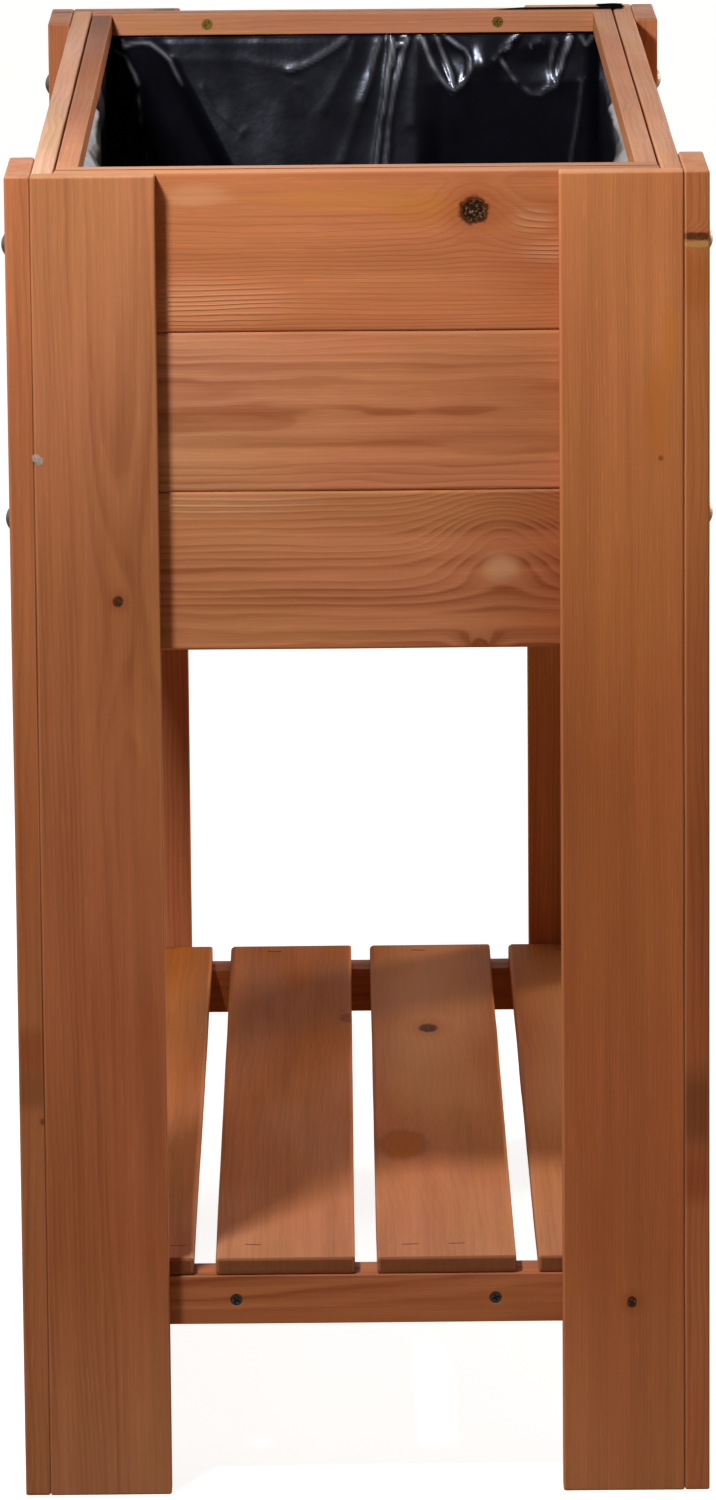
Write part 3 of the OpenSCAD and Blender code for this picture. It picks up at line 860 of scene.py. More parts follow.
# %% Small timber
RIM = {"ring_mm": 2.2, "contrast": 0.36, "top_sheen": 0.35}
rim_pine = stained_pine("rim", "#BE7C54", **RIM, shine=0.12)
# The left batten darkens towards its far end: painted shade where its top gets less sheen.
left_rim_pine = stained_pine(
    "left_rim", ((-392, "#BE7C54"), (60, "#AE6C46"), (392, "#7C4426")), **RIM, shine=0.06
)
# The far batten's stain is paler, partly its tone and partly painted light on its face.
far_rim_pine = stained_pine("far_rim", "#D08C64", ring_mm=2.8, contrast=0.30, shine=0.08)
rail_pine = stained_pine(
    "rail", "#B47048", ring_mm=5.0, contrast=0.8, shine=0.08, wander_mm=9.0, lean=0.10
)
# The far rail and cleat get a darker stain: painted shade for the deep shade under the box.
shaded_far_rail_pine = stained_pine("far_rail", "#A45A2E", ring_mm=5.0, contrast=0.6, shine=0.04)
SMALL = {
    "rim_batten_front": (X, rim_pine, "stained_pine_light", (30, 20), 61.2),
    "rim_batten_back": (X, far_rim_pine, "stained_pine_light", (-40, 20), 64.5),
    "rim_batten_left": (Y, left_rim_pine, "stained_pine_light", (30, -25), 67.7),
    "rim_batten_right": (Y, rim_pine, "stained_pine_light", (-30, -30), 70.1),
    "floor_cleat_left": (Y, plain_pine, "stained_pine_dark", (30, 30), 73.3),
    "floor_cleat_right": (Y, plain_pine, "stained_pine_dark", (-30, 30), 76.8),
    "shelf_rail_front": (X, rail_pine, "stained_pine", (-12, 30), 79.2),
    "shelf_rail_back": (X, shaded_far_rail_pine, "stained_pine", (14, -30), 82.4),
    "shelf_cleat_front": (X, plain_pine, "stained_pine", (20, 40), 85.9),
    "shelf_cleat_back": (X, shaded_far_rail_pine, "stained_pine", (-20, 40), 88.6),
}
for node, (along, finish, slot, pith, seed) in SMALL.items():
    timber(node, along, finish, slot, pith, seed, eased=0.7, bow=0.06)
print("battens, rails and cleats:", len(SMALL))

# %% [markdown]
# ## Rows of boards
#
# The shelf's four slats and the nine boards of the box floor are each one board set again and
# again at an even step. A short node tree does that: it copies the first board, moves each
# copy one step further, and gives each its own place in its own log, so that no two show the
# same rings. The tree ends in real geometry, because copies that are only instances are lost
# when the model is exported.

# %% The row tree
SEED_STEP = 7.31  # from one board's noise to the next


def geometry_tree(name, output, **inputs):
    """A tree with named inputs. Gives it, add_node for it, and its input sockets."""
    tree = bpy.data.node_groups.new(name, "GeometryNodeTree")
    for title, kind in inputs.items():
        title, kind = title.replace("_", " "), "NodeSocket" + kind
        tree.interface.new_socket(title, in_out="INPUT", socket_type=kind)
    tree.interface.new_socket(output, in_out="OUTPUT", socket_type="NodeSocketGeometry")
    add = partial(add_node, tree)
    return tree, add, add("NodeGroupInput").node.outputs


def row_tree():
    """Copies one board at an even step and gives every copy its own log."""
    tree, add, given = geometry_tree(
        "row_of_boards", "Row", Board="Geometry", Count="Int", Pitch="Float", Direction="Vector",
        Pith_Spread="Float", Pith_Side="Float", Pith_Depth="Float", Seed="Int", Finish="Material",
    )
    one = add("GeometryNodeGeometryToInstance", given["Board"])
    many = add("GeometryNodeDuplicateElements", one, Amount=given["Count"], domain="INSTANCE")
    number = many.node.outputs["Duplicate Index"]
    step = add("multiply", number, given["Pitch"])
    row = add("store", many, Name="step", Value=step, data_type="FLOAT", domain="INSTANCE")
    dice = add("FunctionNodeRandomValue", -1.0, 1.0, number, given["Seed"], data_type="FLOAT")
    side = add("multiply_add", dice, given["Pith Spread"], given["Pith Side"])
    own_seed = add("multiply_add", number, SEED_STEP, given["Seed"])
    log = add("join", add("add", side, step), given["Pith Depth"], own_seed)
    row = add("store", row, Name="log", Value=log, data_type="FLOAT_VECTOR", domain="INSTANCE")
    way = add("vector_scale", given["Direction"], step)
    row = add("GeometryNodeTranslateInstances", row, Translation=way, Local_Space=False)
    row = add("GeometryNodeRealizeInstances", row)
    shift = add("join", Y=add("stored", "step", data_type="FLOAT"))
    grain = add("vector_add", add("stored", "grain", data_type="FLOAT_VECTOR"), shift)
    row = add("store", row, Name="grain", Value=grain, data_type="FLOAT_VECTOR", domain="POINT")
    row = add("GeometryNodeSetMaterial", row, Material=given["Finish"])
    add("NodeGroupOutput", row)
    return tree


ROW = row_tree()
print("nodes of the row tree:", len(ROW.nodes))

# %% [markdown]
# ## Growing a row
#
# The tree is a modifier on the first board. Its inputs are set by their identifiers before it
# is evaluated, and the result is taken out as a plain mesh, so no modifier is left on a piece.
# One function then makes a row for the shelf and a row for the floor.

# %% Rows from the tree
def grown(name, mesh, tree, slot, stands_for, **inputs):
    """Runs a node tree on a mesh and keeps its result as one plain piece."""
    seed_object = linked(name + "_seed", mesh)
    modifier = seed_object.modifiers.new("tree", "NODES")
    modifier.node_group = tree
    inputs = {title.replace("_", " "): value for title, value in inputs.items()}
    for item in tree.interface.items_tree:
        if item.name in inputs:
            modifier[item.identifier] = inputs[item.name]
    seed_object.update_tag()
    result = baked(seed_object)
    result.name = name
    bpy.data.objects.remove(seed_object)
    return piece(name, result, None, slot, *stands_for)


def board_row(name, node, count, along, finish, slot, spread_mm, depth_mm, seed, **easing):
    """A row of equal boards, in the place of the CAD nodes node_1 to node_count.

    spread_mm: how far the piths stray to the side; depth_mm: their height over the boards' middle.
    """
    low, high = (np.array(c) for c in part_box(node + "_1"))
    across, middle = X + Y - along, (low + high) / 2
    first = board_mesh(node, low, high, along, (0, 0), 0.0, **easing)
    return grown(
        name, first, ROW, slot, [f"{node}_{n + 1}" for n in range(count)], Count=count,
        Pitch=float(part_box(node + "_2")[0][across] - low[across]),
        Direction=tuple(float(axis == across) for axis in (X, Y, Z)), Pith_Spread=spread_mm * MM,
        Pith_Side=float(middle[across]), Pith_Depth=float(middle[Z] + depth_mm * MM),
        Seed=seed, Finish=finish,
    )


print("inputs of the row tree:", [item.name for item in ROW.interface.items_tree][:9])

# %% [markdown]
# ## Slats and floor boards
#
# The slats' top faces show a wide, calm figure with one big amber knot and two smaller ones.
# Their sawn ends are dark with stain. The floor boards lie hidden under the film, and are
# planed and stained like the rest of the box.

# %% Slats and floor boards
slat_pine = stained_pine(
    "slats", ((-418, "#AE7656"), (0, "#B67246"), (418, "#B26D34")), ring_mm=4.6, contrast=0.20,
    wander_mm=14.0, ripple_mm=2.2, shine=0.015, raw_end=0.75,
    # These patches paint light on the slats' shaded parts under the box.
    patches=(
        (270, 48, 230, 46, "#EEB084"), (40, 48, 160, 46, "#CE9A70"),
        (290, 146, 220, 46, "#E4AA80"), (20, 146, 260, 46, "#D8A480"),
    ),
    knots=[
        ((197, -7.9, 0), (14, 7, THROUGH), 4.0, "#9A4A1C", 0.2),
        ((166.5, 44.3, 0), (12, 6.5, THROUGH), 6.0, "#5A2812", 0.6),
        ((-147, 24.4, 0), (40, 16.5, THROUGH), 16.0, "#A65E1C", 0.2),
    ],
)
floor_pine = stained_pine("floor_boards", "#AE6C46", ring_mm=2.8, chance=0.2)
slats = board_row(
    "shelf_slats", "shelf_slat", 4, Y, slat_pine, "stained_pine_light",
    spread_mm=25, depth_mm=27.5, seed=3, eased=2.2, bow=0.5,
)
floor_boards = board_row(
    "floor_boards", "floor_board", 9, X, floor_pine, "stained_pine_dark",
    spread_mm=50, depth_mm=-35.5, seed=11, eased=1.2,
)
for row in (slats, floor_boards):
    print(row.name, [round(v, 4) for v in row.dimensions])

# %% [markdown]
# ## Metal finishes
#
# The fasteners are plated or blackened steel, dull from handling. A metal keeps its default
# IOR; its look comes from colour, roughness and small cloudy spots under a millimetre wide,
# which dull and darken it.

# %% Metal finishes
SPOT = 0.8 * MM


def metal(name, colour, dark, roughness, metallic=1.0):
    """A plated or blackened fastener: even metal, duller and darker in its spots."""
    material = bpy.data.materials.new(name)
    add = emptied(material)
    where = add("ShaderNodeTexCoord").node.outputs["Object"]
    spots = add("noise", where, 1 / SPOT, 3.0)
    tint = add("mix", add("range", spots, 0.42, 0.68), linear(colour), linear(dark))
    dull = add("range", spots, To_Min=roughness - 0.06, To_Max=roughness + 0.22)
    bump = add("ShaderNodeBump", Height=spots, Strength=0.4, Distance=0.05 * MM)
    skin = add(
        "ShaderNodeBsdfPrincipled", Base_Color=tint, Metallic=metallic, Roughness=dull, Normal=bump
    )
    add("ShaderNodeOutputMaterial", skin)
    return material


FINISHES = {
    "steel": (metal("zinc_plated_steel", "#8A837A", "#5C5246", 0.46), "zinc_steel"),
    "brass": (metal("yellow_passivated_steel", "#9A7E3C", "#4E3C1A", 0.38), "brass_screw"),
    "black": (metal("blackened_steel", "#4C4946", "#242220", 0.40, metallic=0.7), "black_screw"),
    "stained": (metal("stained_over_wire", "#7A3E26", "#3E2012", 0.55, metallic=0.5), None),
}
print("metals:", list(FINISHES))

# %% [markdown]
# ## Turned parts
#
# Screws, bolts, washers and nuts are turned parts. The real ones are rolled or pressed, and a
# Screw modifier could sweep their outlines; a short function that does it ring by ring can
# also square the sides off to a hexagon, which makes it good for nuts.

# %% Turned parts
SHARP = 35  # degrees: a steeper edge stays sharp
SQUARED_FROM = 0.6  # of the largest radius: the chamfer inside it stays round


def hexagon(reach, angle, corners=6):
    """How far a hexagon of the given reach goes out at an angle."""
    turn = 2 * math.pi / corners
    from_flat = (angle + turn / 2) % turn - turn / 2
    return reach * math.cos(turn / 2) / math.cos(from_flat)


def turned(name, outline, sides=32, hexagonal=False):
    """A solid from its outline: (radius, height) pairs in mm, from one end to the other.

    An outline that starts away from the axis makes a ring. hexagonal squares the sides off.
    """
    shape = bmesh.new()
    rings = []
    widest = max(r for r, _ in outline)
    for radius, height in outline:
        ring = []
        for k in range(sides if radius else 1):
            angle = 2 * math.pi * k / sides
            squared = hexagonal and radius > widest * SQUARED_FROM
            reach = min(radius, hexagon(widest, angle)) if squared else radius
            place = (reach * math.cos(angle), reach * math.sin(angle), height)
            ring.append(shape.verts.new(Vector(place) * MM))
        rings.append(ring)
    hollow = [(rings[-1], rings[0])] if len(rings[0]) > 1 else []
    for low, high in list(zip(rings, rings[1:])) + hollow:
        for k in range(max(len(low), len(high))):
            corner = [low[k % len(low)], low[(k + 1) % len(low)]]
            corner += [high[(k + 1) % len(high)], high[k % len(high)]]
            shape.faces.new(list(dict.fromkeys(corner)))  # a triangle where a ring is a point
    bmesh.ops.recalc_face_normals(shape, faces=shape.faces)
    mesh = from_bmesh(name, shape)
    mesh.shade_smooth()
    mesh.set_sharp_from_angle(angle=math.radians(SHARP))
    return mesh


print("faces of a plain pin:", len(turned("pin", [(0, 0), (1, 0), (1, 5), (0, 5)]).polygons))

# %% [markdown]
# ## A screw
#
# A countersunk screw with a cross pressed into its head. The outline is turned, and a Boolean
# modifier takes two crossed bars out of the head. Its thread is never seen, so it is left out.

# %% Screw
CROSS = (4.6, 1.0, 3.2)  # mm: length, width and twice the depth of the pressed cross
TIP, TAPER = 1.4, 4.5  # mm from the point, where it is a third as wide as the shank, and as wide


def screw_part(name, length):
    """A countersunk screw, head up, its face at z = 0."""
    head, shank = HEAD_D / 2, SHANK_D / 2
    outline = [
        (0, -length), (shank * 0.35, TIP - length), (shank, TAPER - length), (shank, -HEAD_H - 0.4),
        (shank + 0.25, -HEAD_H), (head - 0.1, -0.35), (head, -0.15), (head - 0.15, 0), (0, 0),
    ]
    bars = bmesh.new()
    size = Matrix.Diagonal((*[c * MM for c in CROSS], 1.0))
    for angle in (0, math.pi / 2):
        bmesh.ops.create_cube(bars, size=1.0, matrix=Matrix.Rotation(angle, 4, "Z") @ size)
    return cut_away(turned(name, outline, sides=28), bars, SHARP, crossing=True)


print("a screw has", len(screw_part("trial", 30).polygons), "faces")

# %% [markdown]
# ## The tree that sets parts at points
#
# A second tree sets one part at every place that was read from the CAD model. It turns the
# part's axis to the outward direction stored on the point, and then turns the part about it by
# chance, as a driver leaves screws.

# %% The setting tree
def setting_tree():
    """Sets one part at each point, its +Z along the point's "out", turned by chance about it."""
    tree, add, given = geometry_tree(
        "parts_at_points", "Parts", Places="Geometry", Part="Object", Sunk="Float", Turn="Float",
        Seed="Int", Finish="Material",
    )
    part = add("GeometryNodeObjectInfo", given["Part"], transform_space="ORIGINAL")
    out = add("stored", "out", data_type="FLOAT_VECTOR")
    aimed = add("FunctionNodeAlignRotationToVector", Vector=out, axis="Z")
    back = add("multiply", given["Turn"], -1.0)
    dice = add(
        "FunctionNodeRandomValue", back, given["Turn"], Seed=given["Seed"], data_type="FLOAT"
    )
    turn = add("join", Z=dice)
    rolled = add("FunctionNodeRotateRotation", aimed, turn, rotation_space="LOCAL")
    placed = add(
        "GeometryNodeInstanceOnPoints", given["Places"], Rotation=rolled,
        Instance=part.node.outputs["Geometry"],
    )
    deep = add("join", Z=add("multiply", given["Sunk"], -1.0))
    sunk = add("GeometryNodeTranslateInstances", placed, Translation=deep, Local_Space=True)
    real = add("GeometryNodeRealizeInstances", sunk)
    parts = add("GeometryNodeSetMaterial", real, Material=given["Finish"])
    add("NodeGroupOutput", parts)
    return tree


SETTING = setting_tree()
TIP_GAP_MM = 0.3  # a screw ends a little short of its solid


def set_parts(name, part_mesh, places, finish, nodes=(), sunk=0.0, turn=math.pi, seed=1):
    """A piece made of one part at many places. places: (point, outward direction, ...)."""
    points = mesh_of(name + "_places", np.array([p[0] for p in places]), [])
    layer = points.attributes.new("out", "FLOAT_VECTOR", "POINT")
    layer.data.foreach_set("vector", np.array([p[1] for p in places], np.float32).ravel())
    part = bpy.data.objects.new(name + "_part", part_mesh)
    material, slot = FINISHES[finish]
    grown(
        name, points, SETTING, slot, nodes, Part=part, Sunk=sunk * MM, Turn=turn, Seed=seed,
        Finish=material,
    )
    bpy.data.objects.remove(part)


for number, (node, finish) in enumerate(SCREWS.items()):
    places = SCREW_PLACES[node]
    length = float(np.mean([p[2] for p in places])) / MM - SUNK_MM - TIP_GAP_MM
    set_parts(
        node + "_set", screw_part(node, length), places, finish, [node], sunk=SUNK_MM, seed=number
    )
    print(node, len(places), "screws of", round(length), "mm")

# %% [markdown]
# ## Bolts, washers and nuts
#
# Two carriage bolts hold each leg to the box. Outside, their domed heads stand on a square
# neck that bites into the wood, and is turned round here, as it never shows. Inside, under the
# film, each bolt has a washer and a hexagon nut.

# %% Bolts, washers and nuts
DOME_W, DOME_H = 15.9, 3.9


def cap(width, height, steps=6):
    """Outline of a domed bolt head: an arc from its rim to its middle."""
    ball = (height**2 + (width / 2) ** 2) / (2 * height)
    widest = math.asin(width / 2 / ball)
    angles = [widest * (1 - k / steps) for k in range(steps)]
    arc = [(ball * math.sin(a), height - ball + ball * math.cos(a)) for a in angles]
    return arc + [(0, height)]


bolt_places = [(face - out * DOME_H * MM, out) for face, out, _ in heads("carriage_bolts")]
bolt_end = DOME_H - heads("carriage_bolts")[0][2] / MM
bolt = [(0, bolt_end), (2.6, bolt_end), (3.0, bolt_end + 0.7), (3.0, -4.0), (3.9, -4.0)]
bolt = turned("bolt", bolt + [(3.9, -0.02), (7.6, 0.0)] + cap(DOME_W, DOME_H))
washer = turned("washer", [
    (3.4, 0.0), (3.3, -0.1), (3.3, -1.4), (3.4, -1.5),
    (8.8, -1.5), (8.95, -1.35), (8.95, -0.15), (8.8, 0.0),
])
nut = turned("nut", [
    (2.9, -0.5), (3.3, -0.02), (4.9, 0.0), (5.77, -0.5),
    (5.77, -4.5), (4.9, -4.98), (3.3, -5.0), (2.9, -4.5),
], sides=48, hexagonal=True)
nut_places = heads("bolt_nuts", axis=X)
set_parts("carriage_bolts_set", bolt, bolt_places, "steel", ["carriage_bolts"])
set_parts("bolt_washers_set", washer, heads("bolt_washers", axis=X), "steel", ["bolt_washers"])
set_parts("bolt_nuts_set", nut, nut_places, "steel", ["bolt_nuts"], seed=4)
print("bolts:", len(bolt_places), "nuts:", len(nut_places))

# %% [markdown]
# ## Staples
#
# The slats are held by staples, shot in before the stain went on, so that only their flat
# crowns show, in the colour of the wood. Each is a strip swept along a bent path.

# %% Staples
STAPLES = (
    (-113.0, -388.5), (-68.0, -388.0), (27.0, -390.0), (55.0, -389.0), (137.0, -388.0),
    (-60.0, 399.0), (40.0, 399.5), (141.0, 398.5),
)
HALF_PATH = ((5.2, -1.2), (5.2, -0.1), (4.9, 0.28), (4.3, 0.38))  # from a leg's end to the crown
STAPLE_PATH = [(-x, z) for x, z in HALF_PATH] + list(HALF_PATH[::-1])
WIRE = ((-0.5, 0), (0.5, 0), (0.6, -0.15), (0.5, -0.5), (-0.5, -0.5), (-0.6, -0.15))


def staple_mesh():
    """The flat crown of a staple, with its two bent shoulders."""
    shape = bmesh.new()
    rings = [
        [shape.verts.new(Vector((x, y, z + up)) * MM) for y, up in WIRE] for x, z in STAPLE_PATH
    ]
    for one, two in zip(rings, rings[1:]):
        for k in range(len(WIRE)):
            after = (k + 1) % len(WIRE)
            shape.faces.new([one[k], one[after], two[after], two[k]])
    shape.faces.new(rings[0][::-1])
    shape.faces.new(rings[-1])
    bmesh.ops.recalc_face_normals(shape, faces=shape.faces)
    return from_bmesh("staple", shape)


crown_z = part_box("shelf_slat_1")[1].z - 0.25 * MM
places = [((x * MM, y * MM, crown_z), (0.0, 0.0, 1.0)) for x, y in STAPLES]
set_parts("slat_staples", staple_mesh(), places, "stained", turn=0.12, seed=9)
print("staples:", len(places))

# %% [markdown]
# ## The film
#
# A sheet of black polyethylene about 0.2 mm thick was laid into the box, pushed into the
# corners, folded over itself there, and clamped behind the rim battens. A soft sheet could be
# dropped in by a cloth simulation, but film keeps every crease that it was packed with, so
# its relief is worked out by formula. The folds on the far wall follow the photograph: each
# has a height and a half width in mm, then its line as (x, z) points in mm.

# %% Folds of the far wall
FOLDS = (
    (1.6, 2.6, (-157, 778), (-151, 780), (-144, 781), (-138, 780), (-134, 777), (-129, 773),
     (-125, 769)),
    (1.5, 2.4, (-125, 769), (-121, 760), (-117, 752)),
    (0.7, 4.5, (-117, 752), (-113, 745), (-107, 735), (-101, 722), (-95, 710), (-88, 690)),
    (1.2, 2.0, (-159, 787), (-157, 782), (-155, 778)),
    (1.8, 2.0, (-165, 777), (-156, 771), (-149, 758), (-147, 750)),
    (1.1, 2.0, (-147, 750), (-150, 733), (-155, 715), (-158, 690)),
    (2.0, 2.0, (-147, 753), (-147, 741), (-145, 718), (-141, 690)),
    (1.1, 2.2, (-3, 784), (-10, 778), (-18, 773), (-26, 768), (-34, 764), (-44, 761)),
    (0.5, 4.0, (-41, 762), (-56, 764), (-74, 768), (-95, 769), (-124, 769)),
    (0.6, 1.8, (-103, 751), (-100, 743), (-95, 735), (-87, 729), (-76, 719)),
    (0.5, 1.8, (-77, 716), (-76, 719), (-73, 722)),
    (0.4, 2.0, (-38, 751), (-35, 751)),
    (0.8, 4.5, (2, 780), (-3, 765), (-11, 752), (-20, 735)),
    (1.0, 4.5, (12, 755), (5, 738), (-1, 721), (-8, 700)),
    (2.4, 2.2, (27, 785), (26, 774), (24, 761), (22, 742), (19, 726), (16, 705), (14, 680)),
    (1.4, 2.0, (25, 783), (28, 776), (27, 764)),
    (2.0, 2.2, (38, 785), (35, 776), (32, 764), (29, 751), (26, 736), (24, 721), (22, 690)),
    (2.2, 3.5, (30, 778), (34, 779)),
    (1.2, 3.5, (19, 782), (15, 771), (11, 754), (6, 740)),
    (1.0, 4.0, (43, 781), (43, 768), (42, 752), (40, 725)),
    (2.2, 2.2, (47, 784), (51, 772), (55, 763), (60, 755), (64, 750), (69, 747)),
    (2.2, 1.8, (57, 784), (61, 773), (64, 765), (67, 757), (69, 747)),
    (2.4, 2.2, (63, 784), (72, 777), (77, 774), (80, 768), (80, 762), (78, 756), (74, 751),
     (69, 747)),
    (1.6, 2.4, (96, 768), (99, 771), (103, 774)),
    (2.4, 2.4, (115, 784), (107, 777), (102, 772), (102, 766), (107, 757), (114, 750), (122, 744),
     (129, 744), (138, 750)),
    (2.2, 1.8, (138, 750), (141, 758), (143, 766), (146, 774), (150, 785)),
    (1.4, 2.0, (139, 779), (136, 771), (135, 763), (136, 754)),
    (1.0, 2.0, (118, 781), (116, 774)),
    (2.4, 3.5, (122, 776), (129, 778)),
    (1.6, 1.6, (156, 782), (159, 777), (162, 780), (165, 784)),
    (1.3, 2.2, (156, 752), (154, 734), (152, 720), (149, 704), (147, 680)),
)


def to_line(px, pz, points):
    """Distance of each (px, pz) from a line of points."""
    best = np.full(px.shape, 1e9)
    for (ax, az), (bx, bz) in zip(points, points[1:]):
        dx, dz = bx - ax, bz - az
        share = np.clip(((px - ax) * dx + (pz - az) * dz) / (dx * dx + dz * dz), 0, 1)
        best = np.minimum(best, np.hypot(px - ax - share * dx, pz - az - share * dz))
    return best


print("folds on the far wall:", len(FOLDS))

# %% [markdown]
# ## The film's grid
#
# The tray is a box of grid lines without a lid, turned inside out so that its faces look into
# the box. The lines are closest under the battens, where the folds start. Three small
# functions describe soft steps, hills and the sharp-edged crumpling of packed film.

# %% Film grid
FINE_FROM = 0.68  # metres: the folds begin here, and with them the finer rows


def smooth(low, high, value):
    """A soft step from 0 at low to 1 at high."""
    share = np.clip((value - low) / (high - low), 0, 1)
    return share * share * (3 - 2 * share)


def hill(value, middle, spread):
    """1 at the middle, falling softly to either side."""
    return np.exp(-(((value - middle) / spread) ** 2))


def crumple(points, scale_mm, seed):
    """Sharp-edged crumpling between -1 and 1: the folds of a film that was packed small."""
    at = points / (scale_mm * MM)
    values = [noise.noise(Vector(p) + Vector((seed, 2 * seed, 0.7 * seed))) for p in at]
    return 1.0 - 2.6 * np.abs(np.array(values))


liner_low, liner_high = (np.array(c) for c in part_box("planter_liner"))
batten_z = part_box("rim_batten_front")[0].z
rows = [
    np.linspace(liner_low[Z], FINE_FROM, 20)[:-1],
    np.linspace(FINE_FROM, batten_z - 2 * MM, 60),
    batten_z + np.array((-0.5, 0.0, 0.6)) * MM,
    np.linspace(batten_z + 5 * MM, liner_high[Z], 5),
]
film_points, film_quads = box_grid(
    np.linspace(liner_low[X], liner_high[X], 241), np.linspace(liner_low[Y], liner_high[Y], 121),
    np.concatenate(rows), open_top=True,
)
film_quads = [quad[::-1] for quad in film_quads]
print("film quads:", len(film_quads))

# %% [markdown]
# ## Relief of the walls
#
# Under a batten the film leaves the boards at once as a narrow bulge, because it is pinched
# there, and hangs back to them further down. On the far wall two deep pockets stand on the
# right, and the film hangs slack left of a long crease. On the long walls it is stretched
# over the nuts like small tents. Slow noise and crumpling are added to each, and to the far
# wall its folds.

# %% Heights of the walls, in mm over the boards
SUNK_IN, SHARPNESS = 0.45, 1.6  # share of a fold's height that stands out, and how pointed it is
CREST_MM = 1.1  # half width of the pale line on a crest
TENT_MM = 11.2  # height of the film over a nut

px, py, pz = film_points.T / MM
hx, hy = (liner_high[:2] - liner_low[:2]) / 2 / MM
batten_mm, floor_mm, top_mm = batten_z / MM, liner_low[Z] / MM, liner_high[Z] / MM
depth = batten_mm - pz
slow = np.array([noise.noise(Vector(p) * 14.0) for p in film_points])
creases = {scale: crumple(film_points, scale, scale * 0.37) for scale in (90.0, 34.0, 13.0)}
rough = 0.9 * creases[90.0] + 0.4 * creases[34.0] + 0.12 * creases[13.0]


def far_wall(x, z):
    """The far wall's film, which follows the photograph."""
    deep = batten_mm - z
    starts = smooth(1.0, 6.0, deep)
    height = 8.5 * smooth(0.0, 0.5, deep) - 19.0 * smooth(105, 200, deep)
    height += 0.145 * np.minimum(deep, 110) * starts
    left = 1 - smooth(-134, -118, x - 0.5 * (769 - z))  # left of the long crease it hangs slack
    height -= left * 0.24 * np.minimum(deep, 110) * starts
    right = smooth(42, 62, x)  # and under the two pockets on the right it hangs straight down
    height -= right * (0.02 * np.minimum(deep, 38) + 0.19 * np.clip(deep - 34, 0, 76)) * starts
    height += 3.4 * hill(x, 90, 9) * hill(z, 764, 12)  # the tight saddle between the pockets
    height -= 2.0 * hill(x, 62, 12) * hill(z, 768, 11) + 2.0 * hill(x, 124, 18) * hill(z, 762, 11)
    for rise, width, *points in FOLDS:
        height += SUNK_IN * rise * np.exp(-((to_line(x, z, points) / width) ** SHARPNESS))
    return height + 1.2 * slow + 0.3 * rough


def crest_highlight(x, z):
    """How strong the painted highlight is on the crests of its folds."""
    pale = np.zeros_like(x)
    for rise, _, *points in FOLDS:
        crest = hill(to_line(x, z, points), 0, CREST_MM)
        pale = np.maximum(pale, np.clip((rise - 0.9) / 1.3, 0, 1) * crest)
    lower = 1 - smooth(745, 775, z)
    pale *= 1 - 0.75 * lower * smooth(-140, -125, x)
    return pale * np.clip(0.45 + 1.6 * slow + 0.6 * creases[13.0], 0, 1)


def long_wall(y, z, nuts):
    """A long wall's film: near the camera it leaves the batten as a narrow shelf."""
    deep = batten_mm - z
    shelf = np.clip(-20 - y, 0, 330) * 0.0365
    height = (10.0 + 4.0 * smooth(-40, -10, 200 - np.abs(y + 210))) * smooth(0.2, 2.5, deep)
    height += shelf * smooth(0.5, 12.0, deep) - (3.0 + shelf) * smooth(15, 120, deep)
    height += 4.0 * hill(y, 110, 120) * hill(deep, 16, 14) + 3.0 * slow + rough
    for along, up in nuts:
        tent = TENT_MM * (1 - smooth(8.0, 26.0, np.hypot(y - along, z - up)))
        height = np.where(deep > 0, np.maximum(height, tent), height)
    return height


near_wall = 10.0 * smooth(0.2, 3.0, depth) - 6.0 * smooth(20, 150, depth) + 3.0 * slow + rough
nuts = {
    side: [(face[Y] / MM, face[Z] / MM) for face, out, _ in nut_places if out[X] == side]
    for side in (1, -1)
}
print("nuts under the long walls:", {side: len(places) for side, places in nuts.items()})

# %% [markdown]
# ## Pushing the film into shape
#
# The heights push each wall inwards. On the floor the film lies in long slack waves, crossed
# by the straight creases of the way it was packed. It can't reach into the corners, so they
# are rounded. Its edge was trimmed with a knife, a little below the rim on the long sides.

# %% Film relief
POCKET = 0.4  # mm between the film and the boards at rest
ON_IT = 0.01  # mm: a point nearer than this belongs to the wall or the floor
PACKED_X, PACKED_Y = (-59, 59), (-255, -85, 85, 255)  # mm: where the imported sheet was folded
CORNER_MM, TRIMMED_MM = 14.0, 3.0
EAR_RISE_MM = 1.6  # the far edge rises towards the ear of film on the leg

side_gap, end_gap = hx - np.abs(px), hy - np.abs(py)
walls = (  # the way in, distance from the wall, height over it, distance from its corners
    ((0, -1), hy - py, far_wall(px, pz), side_gap),
    ((0, 1), hy + py, near_wall, side_gap),
    ((-1, 0), hx - px, long_wall(py, pz, nuts[1]), end_gap),
    ((1, 0), hx + px, long_wall(py, pz, nuts[-1]), end_gap),
)
push = np.zeros_like(film_points)
for way, gap, relief, corner in walls:
    free = smooth(0.0, 20.0, corner) * smooth(0.0, 16.0, pz - floor_mm)
    height = POCKET + np.where(depth > 0.1, np.maximum(relief, 0.2) * free, 0.0)
    push[:, :2] += np.outer(np.where(gap < ON_IT, height, 0.0), way)

waves = crumple(film_points * np.array((1.0, 0.30, 1.0)), 48.0, 5.0)
lumps = 3.4 * np.maximum(waves, 0) ** 2 + 1.6 * np.maximum(creases[90.0], 0) + 0.15 * creases[13.0]
lumps += 1.6 * sum(hill(px, x, 3.0) for x in PACKED_X)
lumps += 2.2 * sum(hill(py, y, 8.0) for y in PACKED_Y)
open_floor = smooth(0, 30, np.minimum(side_gap, end_gap))
at_far_rim = (pz > top_mm - ON_IT) & (py > hy - 1)
push[:, Z] += np.where(pz < floor_mm + ON_IT, 0.3 + lumps * open_floor, 0.0)
push[:, Z] -= np.where(side_gap < ON_IT, TRIMMED_MM * smooth(791, 800, pz), 0.0)
push[:, Z] += np.where(at_far_rim, EAR_RISE_MM * smooth(92, 118, px), 0.0)
# The crests of the far wall's folds get a painted highlight.
crest_highlight_share = np.where((hy - py < ON_IT) & (depth > 3), crest_highlight(px, pz), 0.0)
film_points = film_points + push * MM

